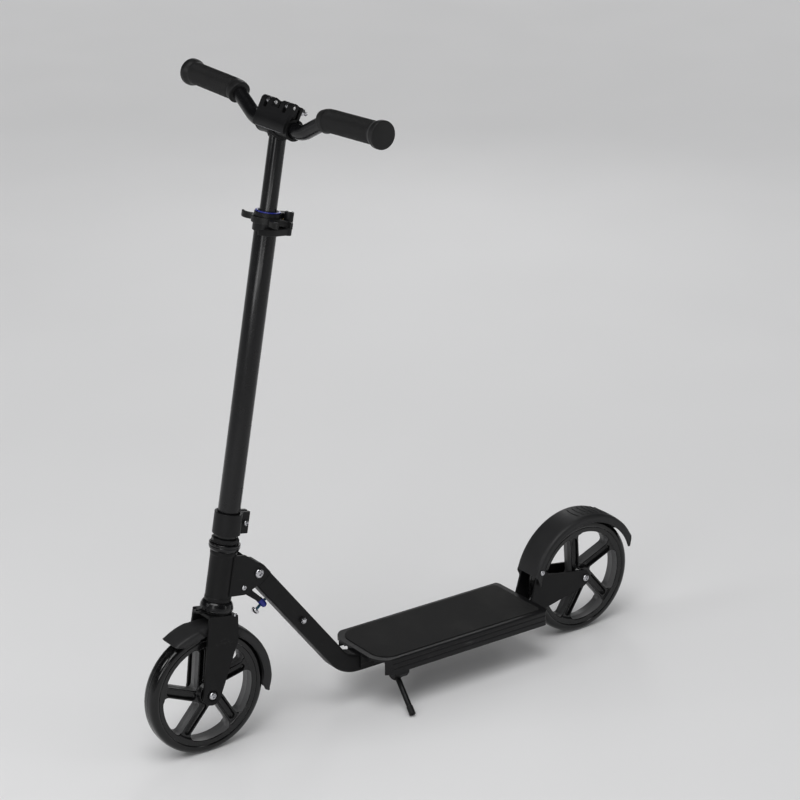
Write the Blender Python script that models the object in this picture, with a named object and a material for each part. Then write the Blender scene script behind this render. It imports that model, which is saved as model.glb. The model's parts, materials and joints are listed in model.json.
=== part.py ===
"""Folding kick scooter with 200 mm wheels, as an assembly of separate pieces.

Metres, +Z up, -X is the front, -Y is the rider's left. The origin is on the ground, half way between
the wheels. Pieces hang on empties: one for each moving axis, and one for the sloping neck.
"""

import math

import bmesh
import bpy
from mathutils import Matrix, Vector

# ---------------------------------------------------------------- driving dimensions
WHEEL_R = 0.100
TYRE_HALF = 0.0148
HUB_HALF = 0.017
WHEELBASE = 0.740
HEAD_LEAN = math.radians(10)
AXLE_LEAD = 0.0035  # the front axle lies this far ahead of the steering axis
GAP = 0.0003  # between pieces that touch

NECK_SLOPE = math.radians(51.7)
NECK_HALF = 0.015
FOLD_FROM_FRONT_AXLE = 0.092
FOLD_HEIGHT = 0.277
PIVOT_R = 0.004

DECK_TOP = 0.090
DECK_BOTTOM = 0.064
DECK_HALF_WIDTH = 0.070
DECK_FRONT = 0.280  # behind the front axle, like every length along the deck
DECK_REAR = 0.622
DECK_SKIN = 0.004
CHANNEL_HALF = 0.0153  # central channel that takes the neck tube
CHANNEL_RIB = 0.0032

FRONT_FENDER_R = 0.112
REAR_FENDER_R = 0.114
FENDER_SKIN = 0.0024
FENDER_SKIRT = 0.013

BLADE_IN = 0.022
BLADE_SKIN = 0.004
CROWN_TOP = 0.128
STEERER_R = 0.0143
STEM_R = 0.017
STEM_FOOT = 0.2463
STEM_TOP = 0.745
COLLAR_LOW = 0.028  # the quick-release collar runs from this far below the stem's top
COLLAR_R = 0.020
T_TUBE_R = 0.0127
T_TUBE_FOOT = 0.525
BAR_Z = 0.872  # height of the handlebar's centre along the steering axis
BAR_R = 0.0111
CLAMP_HALF = 0.0395
CLAMP_R = 0.0155
CLAMP_LEAN = math.radians(18)
EAR_SLOT_Y = 0.0245  # each half of the bar has its own eyebolt, this far from the middle
LEVER_PIVOT = (-0.0133, 0.029)  # the flip lever's pins, from the bar's centre, in the clamp's frame
GRIP_END = 0.250

SEG = 24
FINE = 40

MATERIALS = {  # base colour, roughness, metallic
    "black_paint": ((0.012, 0.012, 0.013), 0.45, 0.0),
    "black_gloss_paint": ((0.010, 0.010, 0.012), 0.22, 0.0),
    "black_anodised": ((0.016, 0.016, 0.018), 0.38, 0.6),
    "tyre_pu": ((0.010, 0.010, 0.010), 0.20, 0.0),
    "rim_plastic": ((0.012, 0.012, 0.012), 0.18, 0.0),
    "fender_plastic": ((0.030, 0.030, 0.032), 0.55, 0.0),
    "black_plastic": ((0.014, 0.014, 0.015), 0.50, 0.0),
    "grip_rubber": ((0.022, 0.022, 0.022), 0.75, 0.0),
    "grip_tape": ((0.018, 0.018, 0.018), 0.95, 0.0),
    "blue_plastic": ((0.010, 0.016, 0.230), 0.35, 0.0),
    "zinc_steel": ((0.620, 0.620, 0.630), 0.25, 1.0),
}


# ---------------------------------------------------------------- outlines
def arc(centre, radius, start, end, steps):
    """Points on a circle, from start to end in degrees."""
    angles = [math.radians(start + (end - start) * i / steps) for i in range(steps + 1)]
    return [(centre[0] + radius * math.cos(a), centre[1] + radius * math.sin(a)) for a in angles]


def rounded(points, radius, steps=3, closed=True):
    """The polygon or path with each corner turned into an arc. radius may be one number or one per corner."""
    points = [Vector(p) for p in points]
    count = len(points)
    made = []
    for i, corner in enumerate(points):
        size = radius[i] if isinstance(radius, (list, tuple)) else radius
        at_end = not closed and i in (0, count - 1)
        if size <= 0 or at_end:
            made.append(corner)
            continue
        back = (points[i - 1] - corner).normalized()
        ahead = (points[(i + 1) % count] - corner).normalized()
        half = back.angle(ahead) / 2
        reach = size / math.tan(half)
        middle = corner + (back + ahead).normalized() * (size / math.sin(half))
        first = corner + back * reach - middle
        last = corner + ahead * reach - middle
        sweep_angle = math.pi - 2 * half
        for k in range(steps + 1):
            share = k / steps
            low = math.sin((1 - share) * sweep_angle) / math.sin(sweep_angle)
            high = math.sin(share * sweep_angle) / math.sin(sweep_angle)
            made.append(middle + first * low + last * high)
    return made


def circle(radius, seg):
    return arc((0, 0), radius, 0, 360 - 360 / seg, seg - 1)


def box_outline(x0, x1, y0, y1):
    return [(x0, y0), (x1, y0), (x1, y1), (x0, y1)]


# ---------------------------------------------------------------- solids
def material(slot):
    found = bpy.data.materials.get(slot)
    if found:
        return found
    colour, roughness, metallic = MATERIALS[slot]
    made = bpy.data.materials.new(slot)
    made.use_nodes = True
    shader = made.node_tree.nodes["Principled BSDF"]
    shader.inputs["Base Color"].default_value = (*colour, 1)
    shader.inputs["Roughness"].default_value = roughness
    shader.inputs["Metallic"].default_value = metallic
    made.diffuse_color = (*colour, 1)
    return made


def frame_at(name, location, parent=None, turn=0.0):
    """An empty that carries pieces: turned about Y, so that +Z leans towards the rear."""
    empty = bpy.data.objects.new(name, None)
    empty.empty_display_size = 0.03
    empty.location = location
    empty.rotation_euler = (0, turn, 0)
    empty.parent = parent
    bpy.context.scene.collection.objects.link(empty)
    return empty


def solid(name, verts, faces, slot, parent):
    mesh = bpy.data.meshes.new(name)
    mesh.from_pydata([tuple(v) for v in verts], [], faces)
    made = bmesh.new()
    made.from_mesh(mesh)
    bmesh.ops.remove_doubles(made, verts=made.verts, dist=1e-7)
    bmesh.ops.recalc_face_normals(made, faces=made.faces)
    made.to_mesh(mesh)
    made.free()
    mesh.shade_smooth()
    mesh.set_sharp_from_angle(angle=math.radians(32))
    obj = bpy.data.objects.new(name, mesh)
    if slot:
        mesh.materials.append(material(slot))
    obj.parent = parent
    bpy.context.scene.collection.objects.link(obj)
    return obj


def along(axis, a, b, h):
    """A point whose plane coordinates are a and b and whose height along the named axis is h."""
    return {"X": (h, a, b), "Y": (a, h, b), "Z": (a, b, h)}[axis]


def lathe(name, profile, slot, parent, axis="Z", centre=(0, 0, 0), seg=SEG):
    """Turns a closed profile of (radius, height) about an axis through centre."""
    verts = []
    rings = []
    for radius, height in profile:
        if radius < 1e-6:
            rings.append([len(verts)] * seg)
            verts.append(Vector(centre) + Vector(along(axis, 0, 0, height)))
            continue
        rings.append(range(len(verts), len(verts) + seg))
        for a, b in circle(radius, seg):
            verts.append(Vector(centre) + Vector(along(axis, a, b, height)))
    faces = []
    for i, ring in enumerate(rings):
        other = rings[(i + 1) % len(rings)]
        for k in range(seg):
            corners = [ring[k], ring[(k + 1) % seg], other[(k + 1) % seg], other[k]]
            face = list(dict.fromkeys(corners))
            if len(face) > 2:
                faces.append(face)
    return solid(name, verts, faces, slot, parent)


def tube(name, outer, inner, low, high, slot, parent, **where):
    """A straight round tube, or a rod when inner is 0."""
    profile = [(inner, low), (outer, low), (outer, high), (inner, high)]
    return lathe(name, profile, slot, parent, **where)


def prism(name, outline, low, high, slot, parent, axis="Y"):
    """Extrudes a flat outline along an axis. The outline is in (x, z), (x, y) or (y, z)."""
    count = len(outline)
    verts = [along(axis, p[0], p[1], low) for p in outline]
    verts += [along(axis, p[0], p[1], high) for p in outline]
    faces = [list(range(count)), list(range(count, 2 * count))]
    for i in range(count):
        j = (i + 1) % count
        faces.append([i, j, count + j, count + i])
    return solid(name, verts, faces, slot, parent)


def sweep(name, path, outer, slot, parent, normal=(0, 1, 0), inner=None, scale=None):
    """Carries a closed section along a flat path. The section's first coordinate is along normal, its
    second across the path. inner is the hollow's section, with as many points, and scale the size of the
    outer section at each point of the path."""
    path = [Vector(p) for p in path]
    normal = Vector(normal)
    sections = [outer] + ([inner] if inner else [])
    verts = []
    for section in sections:
        for i, point in enumerate(path):
            before = (point - path[max(i - 1, 0)]).normalized()
            after = (path[min(i + 1, len(path) - 1)] - point).normalized()
            along_path = (before + after).normalized()
            side = along_path.cross(normal)
            size = scale[i] if scale and section is outer else 1.0
            verts += [point + normal * (a * size) + side * (b * size) for a, b in section]
    faces = []
    for number, section in enumerate(sections):
        count = len(section)
        start = number * len(path) * len(outer)
        for i in range(len(path) - 1):
            for k in range(count):
                m = (k + 1) % count
                low, high = start + i * count, start + (i + 1) * count
                faces.append([low + k, low + m, high + m, high + k])
    count = len(outer)
    ends = (0, (len(path) - 1) * count)
    hollow = len(path) * count
    for end in ends:
        if not inner:
            faces.append(list(range(end, end + count)))
            continue
        for k in range(count):
            m = (k + 1) % count
            faces.append([end + k, end + m, hollow + end + m, hollow + end + k])
    return solid(name, verts, faces, slot, parent)


def boolean(target, other, operation):
    """Cuts, joins or intersects, and hides the other shape, which is only a tool."""
    modifier = target.modifiers.new(operation.lower(), "BOOLEAN")
    modifier.operation = operation
    modifier.object = other
    modifier.solver = "EXACT"
    other.hide_render = True
    other.display_type = "WIRE"
    return target


def cut(target, *others):
    for other in others:
        boolean(target, other, "DIFFERENCE")
    return target


def join(target, *others):
    for other in others:
        boolean(target, other, "UNION")
    return target


def drill(target, radius, reach, parent, axis="Y", centre=(0, 0, 0), seg=16):
    """A round hole through target, reach to each side of centre."""
    rod = tube(target.name + "_drill", radius, 0, -reach, reach, None, parent, axis=axis, centre=centre, seg=seg)
    return cut(target, rod)


def bolt(name, parent, radius, tip, under_head, head_r, head_h, axis="Y", centre=(0, 0, 0), seg=16):
    """A dome-headed bolt: the shank runs from tip to under_head, and the head goes on the same way."""
    way = 1 if under_head > tip else -1
    top = under_head + way * head_h
    rim = under_head + way * head_h * 0.25
    shoulder = under_head + way * head_h * 0.8
    profile = [(0, tip), (radius, tip), (radius, under_head), (head_r, under_head), (head_r, rim)]
    profile += [(head_r * 0.72, shoulder), (head_r * 0.3, top), (0, top)]
    return lathe(name, profile, "zinc_steel", parent, axis=axis, centre=centre, seg=seg)


def nut(name, parent, hole, corner_r, low, high, axis="Y", centre=(0, 0, 0), slot="zinc_steel", sides=6):
    made = tube(name, corner_r, 0, low, high, slot, parent, axis=axis, centre=centre, seg=sides)
    bore = tube(name + "_bore", hole, 0, low - 0.01, high + 0.01, None, parent, axis=axis, centre=centre, seg=SEG)
    return cut(made, bore)


def wheel_bearing(name, parent, way, inner_face, outer_face, spacer_face):
    """A ball bearing with the spacer sleeve that keeps it off the blade."""
    bore, sleeve = PIVOT_R + GAP, 0.0072
    profile = [(bore, inner_face), (BEARING_R, inner_face), (BEARING_R, outer_face), (sleeve, outer_face)]
    profile += [(sleeve, spacer_face), (bore, spacer_face)]
    return lathe(name, [(r, way * h) for r, h in profile], "zinc_steel", parent, axis="Y", seg=20)


# ---------------------------------------------------------------- wheels
SPOKES = 5
SPOKE_TURN = 22.5  # direction of the first spoke, degrees
SPOKE_OFFSET = 0.010  # each spoke's line passes this far from the axle
SPOKE_HALF = 0.0085
RIM_IN = 0.0785
RIM_OUT = 0.0867
BEARING_R = 0.011


def window_outline(first, steps):
    """The opening between two neighbouring spokes, the first at this direction in degrees."""
    corner_r, hub_corner_r = 0.0085, 0.005
    sides = []
    for direction, side in ((first, 1), (first + 360 / SPOKES, -1)):
        a = math.radians(direction)
        way = Vector((math.cos(a), math.sin(a)))
        across = Vector((-way.y, way.x))
        sides.append((way, across, SPOKE_OFFSET + side * SPOKE_HALF, side))

    def corner_centre(way, across, edge, side):
        foot = across * (edge + side * corner_r)
        return foot + way * math.sqrt((RIM_IN - corner_r) ** 2 - foot.length ** 2)

    (way_a, across_a, edge_a, side_a), (way_b, across_b, edge_b, side_b) = sides
    foot_a = across_a * (edge_a + side_a * hub_corner_r)
    foot_b = across_b * (edge_b + side_b * hub_corner_r)
    spread = way_a.x * way_b.y - way_a.y * way_b.x
    between = foot_b - foot_a
    run = (between.x * way_b.y - between.y * way_b.x) / spread
    inner = foot_a + way_a * run
    outer_a = corner_centre(*sides[0])
    outer_b = corner_centre(*sides[1])
    rim_a = math.degrees(math.atan2(outer_a.y, outer_a.x))
    rim_b = math.degrees(math.atan2(outer_b.y, outer_b.x))
    rim_b += 360 if rim_b < rim_a else 0
    first_side, last_side = first - 90, first + 360 / SPOKES + 90
    outline = arc(outer_a, corner_r, first_side, first_side + (rim_a - first_side) % 360, steps)
    outline += arc((0, 0), RIM_IN, rim_a, rim_b, steps + 2)[1:-1]
    outline += arc(outer_b, corner_r, rim_b, rim_b + (last_side - rim_b) % 360, steps)
    outline += arc(inner, hub_corner_r, last_side, last_side + (first_side - last_side) % 360, steps)
    return outline


def make_wheel(end, axle, spacer_face):
    half_profile = [(0.006, 0.0104), (BEARING_R + GAP, 0.0104), (BEARING_R + GAP, HUB_HALF)]
    half_profile += [(0.0165, HUB_HALF), (0.0195, 0.0105), (0.0745, 0.0105), (0.0780, 0.0134), (RIM_OUT, 0.0140)]
    profile = half_profile + [(r, -h) for r, h in reversed(half_profile)]
    rim = lathe(end + "_rim", profile, "rim_plastic", axle, axis="Y", seg=FINE)
    for k in range(SPOKES):
        outline = window_outline(SPOKE_TURN + k * 360 / SPOKES, 3)
        cut(rim, prism(f"{end}_window_{k}", outline, -0.02, 0.02, None, axle))
    tread = [(0.0870, 0.0140), (0.0905, TYRE_HALF), (0.0950, 0.0140), (0.0986, 0.0100), (WHEEL_R, 0.0045)]
    profile = tread + [(r, -h) for r, h in reversed(tread)]
    lathe(end + "_tyre", profile, "tyre_pu", axle, axis="Y", seg=FINE)
    for side, way in (("left", -1), ("right", 1)):
        wheel_bearing(f"{end}_bearing_{side}", axle, way, 0.0107, HUB_HALF, spacer_face - GAP)


# ---------------------------------------------------------------- mudguards
def mudguard(name, parent, centre, radius, start, end, half_width, slope_ends, steps):
    """A shell round the wheel from start to end in degrees. Its section is a low arch with a skirt on each
    side. half_width gives the half width at an angle, and the skirts stop slope_ends degrees short."""
    section = [(1.0, 1.0), (1.0, 0.35), (0.86, 0.08), (0.45, 0.0), (0.0, -0.03)]
    section += [(-y, d) for y, d in reversed(section[:-1])]

    def grid(shrink):
        rows = []
        for i in range(steps + 1):
            row = []
            for y, depth in section:
                back = slope_ends * max(depth, 0.0) ** 1.5
                share = i / steps
                angle = start + (end - start) * share
                angle += back * (1 - share) - back * share
                reach = radius - shrink - depth * FENDER_SKIRT
                a = math.radians(angle)
                wide = half_width(start + (end - start) * share) - shrink
                row.append(Vector(centre) + Vector((reach * math.cos(a), y * wide, reach * math.sin(a))))
            rows.append(row)
        return rows

    width = len(section)
    verts = [p for shrink in (0.0, FENDER_SKIN) for row in grid(shrink) for p in row]
    half = (steps + 1) * width
    faces = []
    for i in range(steps):
        for k in range(width - 1):
            a = i * width + k
            faces.append([a, a + 1, a + width + 1, a + width])
            faces.append([half + a, half + a + width, half + a + width + 1, half + a + 1])
    for i in range(steps):
        for k in (0, width - 1):
            a = i * width + k
            faces.append([a, a + width, half + a + width, half + a])
    for i in (0, steps):
        for k in range(width - 1):
            a = i * width + k
            faces.append([a, a + 1, half + a + 1, half + a])
    return solid(name, verts, faces, "fender_plastic", parent)


# ---------------------------------------------------------------- deck, neck and rear end
def ahead(distance):
    """The X of a point this far behind the front axle."""
    return distance - WHEELBASE / 2


def make_deck():
    top, under = DECK_TOP, DECK_TOP - DECK_SKIN
    rib_out = CHANNEL_HALF + CHANNEL_RIB
    rail_in = DECK_HALF_WIDTH - 0.006
    half = [(0, top), (DECK_HALF_WIDTH, top), (DECK_HALF_WIDTH, DECK_BOTTOM), (rail_in, DECK_BOTTOM)]
    half += [(rail_in, under), (rib_out, under), (rib_out, 0.062), (CHANNEL_HALF, 0.062), (CHANNEL_HALF, under)]
    radii = [0, 0.004, 0.002, 0.001, 0, 0, 0, 0, 0]
    outline = half + [(-y, z) for y, z in reversed(half[1:])]
    outline = rounded(outline, radii + radii[:0:-1], steps=2)
    deck = prism("deck", outline, ahead(DECK_FRONT), ahead(DECK_REAR), "black_anodised", None, axis="X")
    plan = box_outline(ahead(DECK_FRONT) - 0.001, ahead(DECK_REAR) + 0.001, -0.0705, 0.0705)
    plan = rounded(plan, [0.035, 0.012, 0.012, 0.035], steps=4)
    boolean(deck, prism("deck_plan", plan, 0.05, 0.10, None, None, axis="Z"), "INTERSECT")
    tape = box_outline(ahead(DECK_FRONT) + 0.010, ahead(DECK_REAR) - 0.010, -0.061, 0.061)
    tape = rounded(tape, [0.030, 0.008, 0.008, 0.030], steps=4)
    prism("deck_grip_tape", tape, DECK_TOP + GAP, DECK_TOP + GAP + 0.0008, "grip_tape", None, axis="Z")


def neck_section(half, corner):
    return [tuple(p) for p in rounded(box_outline(-half, half, -half, half), corner, steps=2)]


def make_neck(neck):
    """The square tube from the fold joint down to the deck's channel, with the tongue that it is pinned to."""
    level = 0.0705
    run = (FOLD_HEIGHT - level) / math.sin(NECK_SLOPE)
    slope = Vector((math.cos(NECK_SLOPE), 0, math.sin(NECK_SLOPE)))  # horizontal rearwards, in the neck's frame
    tube_start = 0.0203
    bend = Vector((run, 0, 0))
    path = rounded([Vector((tube_start, 0, 0)), bend, bend + slope * 0.175], 0.050, steps=5, closed=False)
    neck_tube = sweep("neck_tube", path, neck_section(NECK_HALF, 0.004), "black_paint", neck,
                      inner=neck_section(NECK_HALF - 0.002, 0.002))
    head = arc((0, 0), NECK_HALF, 90, 270, 8) + [(0.020, -NECK_HALF), (0.020, NECK_HALF)]
    tongue = prism("fold_tongue", head, -CHANNEL_HALF, CHANNEL_HALF, "black_paint", neck)
    shank_half = NECK_HALF - 0.002 - GAP
    join(tongue, prism("tongue_shank", neck_section(shank_half, 0.002), 0.010, 0.142, None, neck, axis="X"))
    drill(tongue, PIVOT_R + GAP, 0.02, neck)
    cross = (0.1295, 0, 0)
    bolt_r = 0.003
    drill(tongue, bolt_r + GAP, 0.02, neck, centre=cross)
    drill(neck_tube, bolt_r + GAP, 0.02, neck, centre=cross)
    face = NECK_HALF + GAP
    bolt("neck_bolt", neck, bolt_r, -face - 0.0065, face, 0.0052, 0.0032, centre=cross)
    nut("neck_nut", neck, bolt_r + GAP, 0.0052, -face - 0.0048, -face, centre=cross)


def make_rear_end(rear_axle):
    """Dropout plates bolted to the channel's ribs, the axle, the mudguard's pin and its torsion spring."""
    plate_in = CHANNEL_HALF + CHANNEL_RIB + GAP
    plate_out = plate_in + 0.0035
    pivot = fender_pivot_at()
    front, low, under = -0.220, 0.066 - WHEEL_R, DECK_TOP - DECK_SKIN - GAP - WHEEL_R
    deck_end = DECK_REAR - WHEELBASE + 0.002
    roof = arc((0, 0), 0.1085, 172, 154, 5)
    outline = [(-0.080, low + 0.002), (front, low), (front, under), (deck_end, under)] + roof
    outline += [(-0.080, 0.026), (0, 0.014), (0.014, 0), (0, -0.014)]
    radii = [0.020, 0.006, 0, 0] + [0] * len(roof) + [0.010, 0.012, 0.011, 0.012]
    outline = rounded(outline, radii, steps=3)
    for side, way in (("left", -1), ("right", 1)):
        low, high = sorted((way * plate_in, way * plate_out))
        plate = prism("rear_dropout_" + side, outline, low, high, "black_paint", rear_axle)
        drill(plate, PIVOT_R + GAP, 0.03, rear_axle)
        drill(plate, 0.0025 + GAP, 0.03, rear_axle, centre=(pivot[0], 0, pivot[1]), seg=12)
    outer = plate_out + GAP
    bolt("rear_axle_bolt", rear_axle, PIVOT_R, 0.0290, -outer, 0.0062, 0.0045)
    nut("rear_axle_nut", rear_axle, PIVOT_R + GAP, 0.0072, outer, outer + 0.0055)
    bolt("fender_pin", rear_axle, 0.0025, 0.0295, -0.0278, 0.0045, 0.0022,
         centre=(pivot[0], 0, pivot[1]), seg=12)
    make_spring(rear_axle, pivot)


def fender_pivot_at():
    """Where the rear mudguard turns, from the rear axle: just outside the tyre, at the front."""
    a = math.radians(160)
    return (0.1045 * math.cos(a), 0.1045 * math.sin(a))


def make_spring(rear_axle, pivot):
    """The coil round the mudguard's pin."""
    turns, coil_r, wire_r, per_turn = 5, 0.0034, 0.0006, 12
    pitch = 0.0024
    wire = circle(wire_r, 5)
    rings = []
    for i in range(turns * per_turn + 1):
        a = 2 * math.pi * i / per_turn
        out = Vector((math.cos(a), 0, math.sin(a)))
        middle = Vector((pivot[0], (i / per_turn - turns / 2) * pitch, pivot[1])) + out * coil_r
        rings.append([middle + out * u + Vector((0, v, 0)) for u, v in wire])
    verts = [p for ring in rings for p in ring]
    faces = [[0, 1, 2, 3, 4], list(range(len(verts) - 5, len(verts)))]
    for i in range(len(rings) - 1):
        for k in range(5):
            m = (k + 1) % 5
            faces.append([i * 5 + k, i * 5 + m, i * 5 + 5 + m, i * 5 + 5 + k])
    return solid("fender_spring", verts, faces, "zinc_steel", rear_axle)


def make_rear_fender(fender_pivot):
    """The foot brake: a mudguard that turns on its pin until it rubs the tyre."""
    pivot = fender_pivot_at()
    centre = (-pivot[0], 0, -pivot[1])
    guard = mudguard("rear_fender_brake", fender_pivot, centre, REAR_FENDER_R, 165, 29, lambda a: 0.0275, 9, 18)
    drill(guard, 0.0025 + GAP, 0.03, fender_pivot, seg=12)
    return guard


KICK_PIVOT = (0.330, -0.047, 0.053)  # behind the front axle, to the left, above the ground
KICK_SPLAY = math.radians(53)  # the leg's plane, from the vertical
KICK_TOE = math.radians(8)  # the foot stands ahead of the pivot, so that weight holds the leg against its stop
KICK_ROD = 0.0045


def kick_axes():
    """(down the leg's plane, along the pivot)"""
    down = Vector((0, -math.sin(KICK_SPLAY), -math.cos(KICK_SPLAY)))
    return down, down.cross(Vector((1, 0, 0)))


def make_kickstand(kick_pivot):
    down, axle = kick_axes()
    out = Vector((0, KICK_PIVOT[1], KICK_PIVOT[2]))
    high = out - down * 0.014
    low = out + down * 0.011
    outline = [(high.y, high.z), (low.y, low.z)]
    outline += [(low.y + axle.y * 0.009, low.z + axle.z * 0.009), (-0.0625, 0.0635)]
    outline += [(-0.0625, DECK_TOP - DECK_SKIN - GAP), (-0.032, DECK_TOP - DECK_SKIN - GAP), (-0.032, 0.066)]
    x = ahead(KICK_PIVOT[0])
    bracket = prism("kickstand_bracket", outline, x - 0.014, x + 0.014, "black_paint", None, axis="X")
    stud_hole = tube("bracket_drill", 0.0038, 0, -0.009, 0.004, None, kick_pivot, seg=12)
    cut(bracket, stud_hole)
    # The pivot's empty has +Z along the pivot and +X to the rear, so -Y is down the leg.
    hub_top = -GAP
    hub_low = -0.0095
    profile = [(0, 0.003), (0.0035, 0.003), (0.0035, hub_top), (0.011, hub_top), (0.011, hub_low), (0, hub_low)]
    hub = lathe("kickstand_leg", profile, "black_paint", kick_pivot, seg=16)
    centre = (hub_top + hub_low) / 2
    height = KICK_PIVOT[2] + axle.z * centre
    reach = (height - KICK_ROD * math.sin(KICK_SPLAY)) / (math.cos(KICK_SPLAY) * math.cos(KICK_TOE))
    foot = Vector((-math.sin(KICK_TOE) * reach, -math.cos(KICK_TOE) * reach, centre))
    rod = sweep("kickstand_rod", [(0, 0, centre), tuple(foot)], circle(KICK_ROD, 12), None, kick_pivot,
                normal=(0, 0, 1))
    return join(hub, rod)


# ---------------------------------------------------------------- head, fold joint and latch
LATCH = (-0.004, -0.032)  # the latch lever's pin, in the neck's frame


def steering_point(empty, along_neck, above_neck):
    """A point of the neck's frame, as (x, z) in the steering axis's frame."""
    world = Vector((along_neck * math.cos(NECK_SLOPE) + above_neck * math.sin(NECK_SLOPE),
                    0, above_neck * math.cos(NECK_SLOPE) - along_neck * math.sin(NECK_SLOPE)))
    world += Vector((ahead(FOLD_FROM_FRONT_AXLE), 0, FOLD_HEIGHT)) - empty.location
    local = Matrix.Rotation(-HEAD_LEAN, 3, "Y") @ world
    return local.x, local.z


def make_head(steering, neck):
    """Head tube with the two fold plates welded to it, its cups and its bearings."""
    head = tube("head_tube", 0.020, 0.0168, 0.1463, 0.2260, "black_paint", steering, seg=32)
    pivot = steering_point(steering, 0, 0)
    latch = steering_point(steering, *LATCH)
    outline = [(0.006, 0.156), (latch[0] + 0.004, latch[1] - 0.012), (pivot[0] + 0.012, pivot[1] - 0.013)]
    outline += [(pivot[0] + 0.014, pivot[1] + 0.006), (pivot[0] - 0.004, pivot[1] + 0.015), (0.028, 0.221)]
    outline += [(0.006, 0.221)]
    outline = rounded(outline, [0, 0.009, 0.010, 0.010, 0.010, 0.008, 0], steps=3)
    for side, way in (("left", -1), ("right", 1)):
        low, high = sorted((way * 0.0158, way * 0.0195))
        plate = prism("fold_plate_" + side, outline, low, high, None, steering)
        join(head, plate)
    drill(head, PIVOT_R + GAP, 0.03, neck)
    drill(head, 0.0025 + GAP, 0.03, neck, centre=(LATCH[0], 0, LATCH[1]), seg=12)
    face = 0.0195 + GAP
    bolt("fold_bolt", neck, PIVOT_R, face + 0.004, -face, 0.0075, 0.0045)
    bolt("latch_pin", neck, 0.0025, face + 0.002, -face, 0.0042, 0.0025, centre=(LATCH[0], 0, LATCH[1]), seg=12)
    lower = [(0.0193, 0.1311), (0.0250, 0.1311), (0.0258, 0.1345), (0.0250, 0.1390), (0.0215, 0.1460)]
    lower += [(0.0150, 0.1460), (0.0150, 0.1440), (0.0193, 0.1440)]
    lathe("lower_cup", lower, "black_gloss_paint", steering)
    upper = [(0.0150, 0.2263), (0.0215, 0.2263), (0.0240, 0.2320), (0.0240, 0.2380), (0.0193, 0.2380)]
    upper += [(0.0193, 0.2285), (0.0150, 0.2285)]
    lathe("upper_cup", upper, "black_gloss_paint", steering)
    tube("lower_bearing", 0.0190, STEERER_R + GAP, 0.1330, 0.1430, "zinc_steel", steering)
    tube("upper_bearing", 0.0190, STEERER_R + GAP, 0.2290, 0.2375, "zinc_steel", steering)


def make_latch(latch_pivot):
    """The lever behind the neck that holds the fold joint shut, with its blue end and its stop screw."""
    outline = [(-0.007, -0.006), (0.010, -0.006), (0.052, 0.0035), (0.052, 0.0115), (0.028, 0.0085)]
    outline += [(0.016, 0.0135), (0.008, 0.0135), (-0.007, 0.006)]
    outline = rounded(outline, [0.006, 0.010, 0, 0, 0.008, 0.002, 0.002, 0.006], steps=3)
    lever = prism("latch_lever", outline, -0.006, 0.006, "black_paint", latch_pivot)
    drill(lever, 0.0025 + GAP, 0.02, latch_pivot, seg=12)
    end = (0.052, 0, 0.0075)
    join(lever, tube("latch_tenon", 0.003, 0, -0.002, 0.006, None, latch_pivot, axis="X", centre=end, seg=12))
    profile = [(0.003 + GAP, GAP), (0.0055, GAP), (0.0058, 0.006), (0.0058, 0.014), (0.0045, 0.0175), (0, 0.0185)]
    profile += [(0, 0.0063), (0.003 + GAP, 0.0063)]
    cap = lathe("latch_cap", profile, "blue_plastic", latch_pivot, axis="X", centre=end, seg=16)
    screw = (end[0] + 0.0095, 0, end[2])
    drill(cap, 0.0023 + GAP, 0.02, latch_pivot, axis="Z", centre=screw, seg=12)
    bolt("latch_screw", latch_pivot, 0.0023, 0.0075, -0.0150, 0.0058, 0.0042, axis="Z", centre=screw)


# ---------------------------------------------------------------- fork and stem
def make_fork(steering, front_axle):
    blade = [(-0.0225, CROWN_TOP), (-0.0222, 0.100), (-0.0158, 0.004)]
    blade += arc((0, 0), 0.0160, 180, 360, 8)[1:]
    blade += [(0.0340, 0.090), (0.0275, CROWN_TOP)]
    outline = [(x - AXLE_LEAD, z) for x, z in blade]
    fork = prism("fork", outline, BLADE_IN, BLADE_IN + BLADE_SKIN, "black_paint", steering)
    left = prism("fork_blade_left", outline, -BLADE_IN - BLADE_SKIN, -BLADE_IN, None, steering)
    crown = box_outline(-0.0225 - AXLE_LEAD, 0.0275 - AXLE_LEAD, CROWN_TOP - 0.006, CROWN_TOP)
    bridge = prism("fork_bridge", crown, -BLADE_IN - 0.002, BLADE_IN + 0.002, None, steering)
    steerer = tube("fork_steerer", STEERER_R, 0.0115, CROWN_TOP - 0.003, 0.3080, None, steering)
    join(fork, left, bridge, steerer)
    drill(fork, PIVOT_R + GAP, 0.04, front_axle)
    outer = BLADE_IN + BLADE_SKIN + GAP
    bolt("front_axle_bolt", front_axle, PIVOT_R, outer + 0.0075, -outer, 0.0064, 0.0048)
    nut("front_axle_nut", front_axle, PIVOT_R + GAP, 0.0072, outer, outer + 0.0055)
    make_eyelet(steering)
    make_front_fender(steering)


def make_eyelet(steering):
    """The strap ring: a washer under the lower cup, with a lug and a hole to the front."""
    lug = rounded(box_outline(-0.040, -0.018, -0.0085, 0.0085), [0.0084, 0, 0, 0.0084], steps=4)
    low, high = CROWN_TOP + GAP, CROWN_TOP + 0.0028
    eyelet = tube("strap_eyelet", 0.0235, STEERER_R + GAP, low, high, "black_paint", steering)
    join(eyelet, prism("eyelet_lug", lug, low + 0.0001, high - 0.0001, None, steering, axis="Z"))
    drill(eyelet, 0.0042, 0.01, steering, axis="Z", centre=(-0.0315, 0, CROWN_TOP), seg=12)


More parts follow.
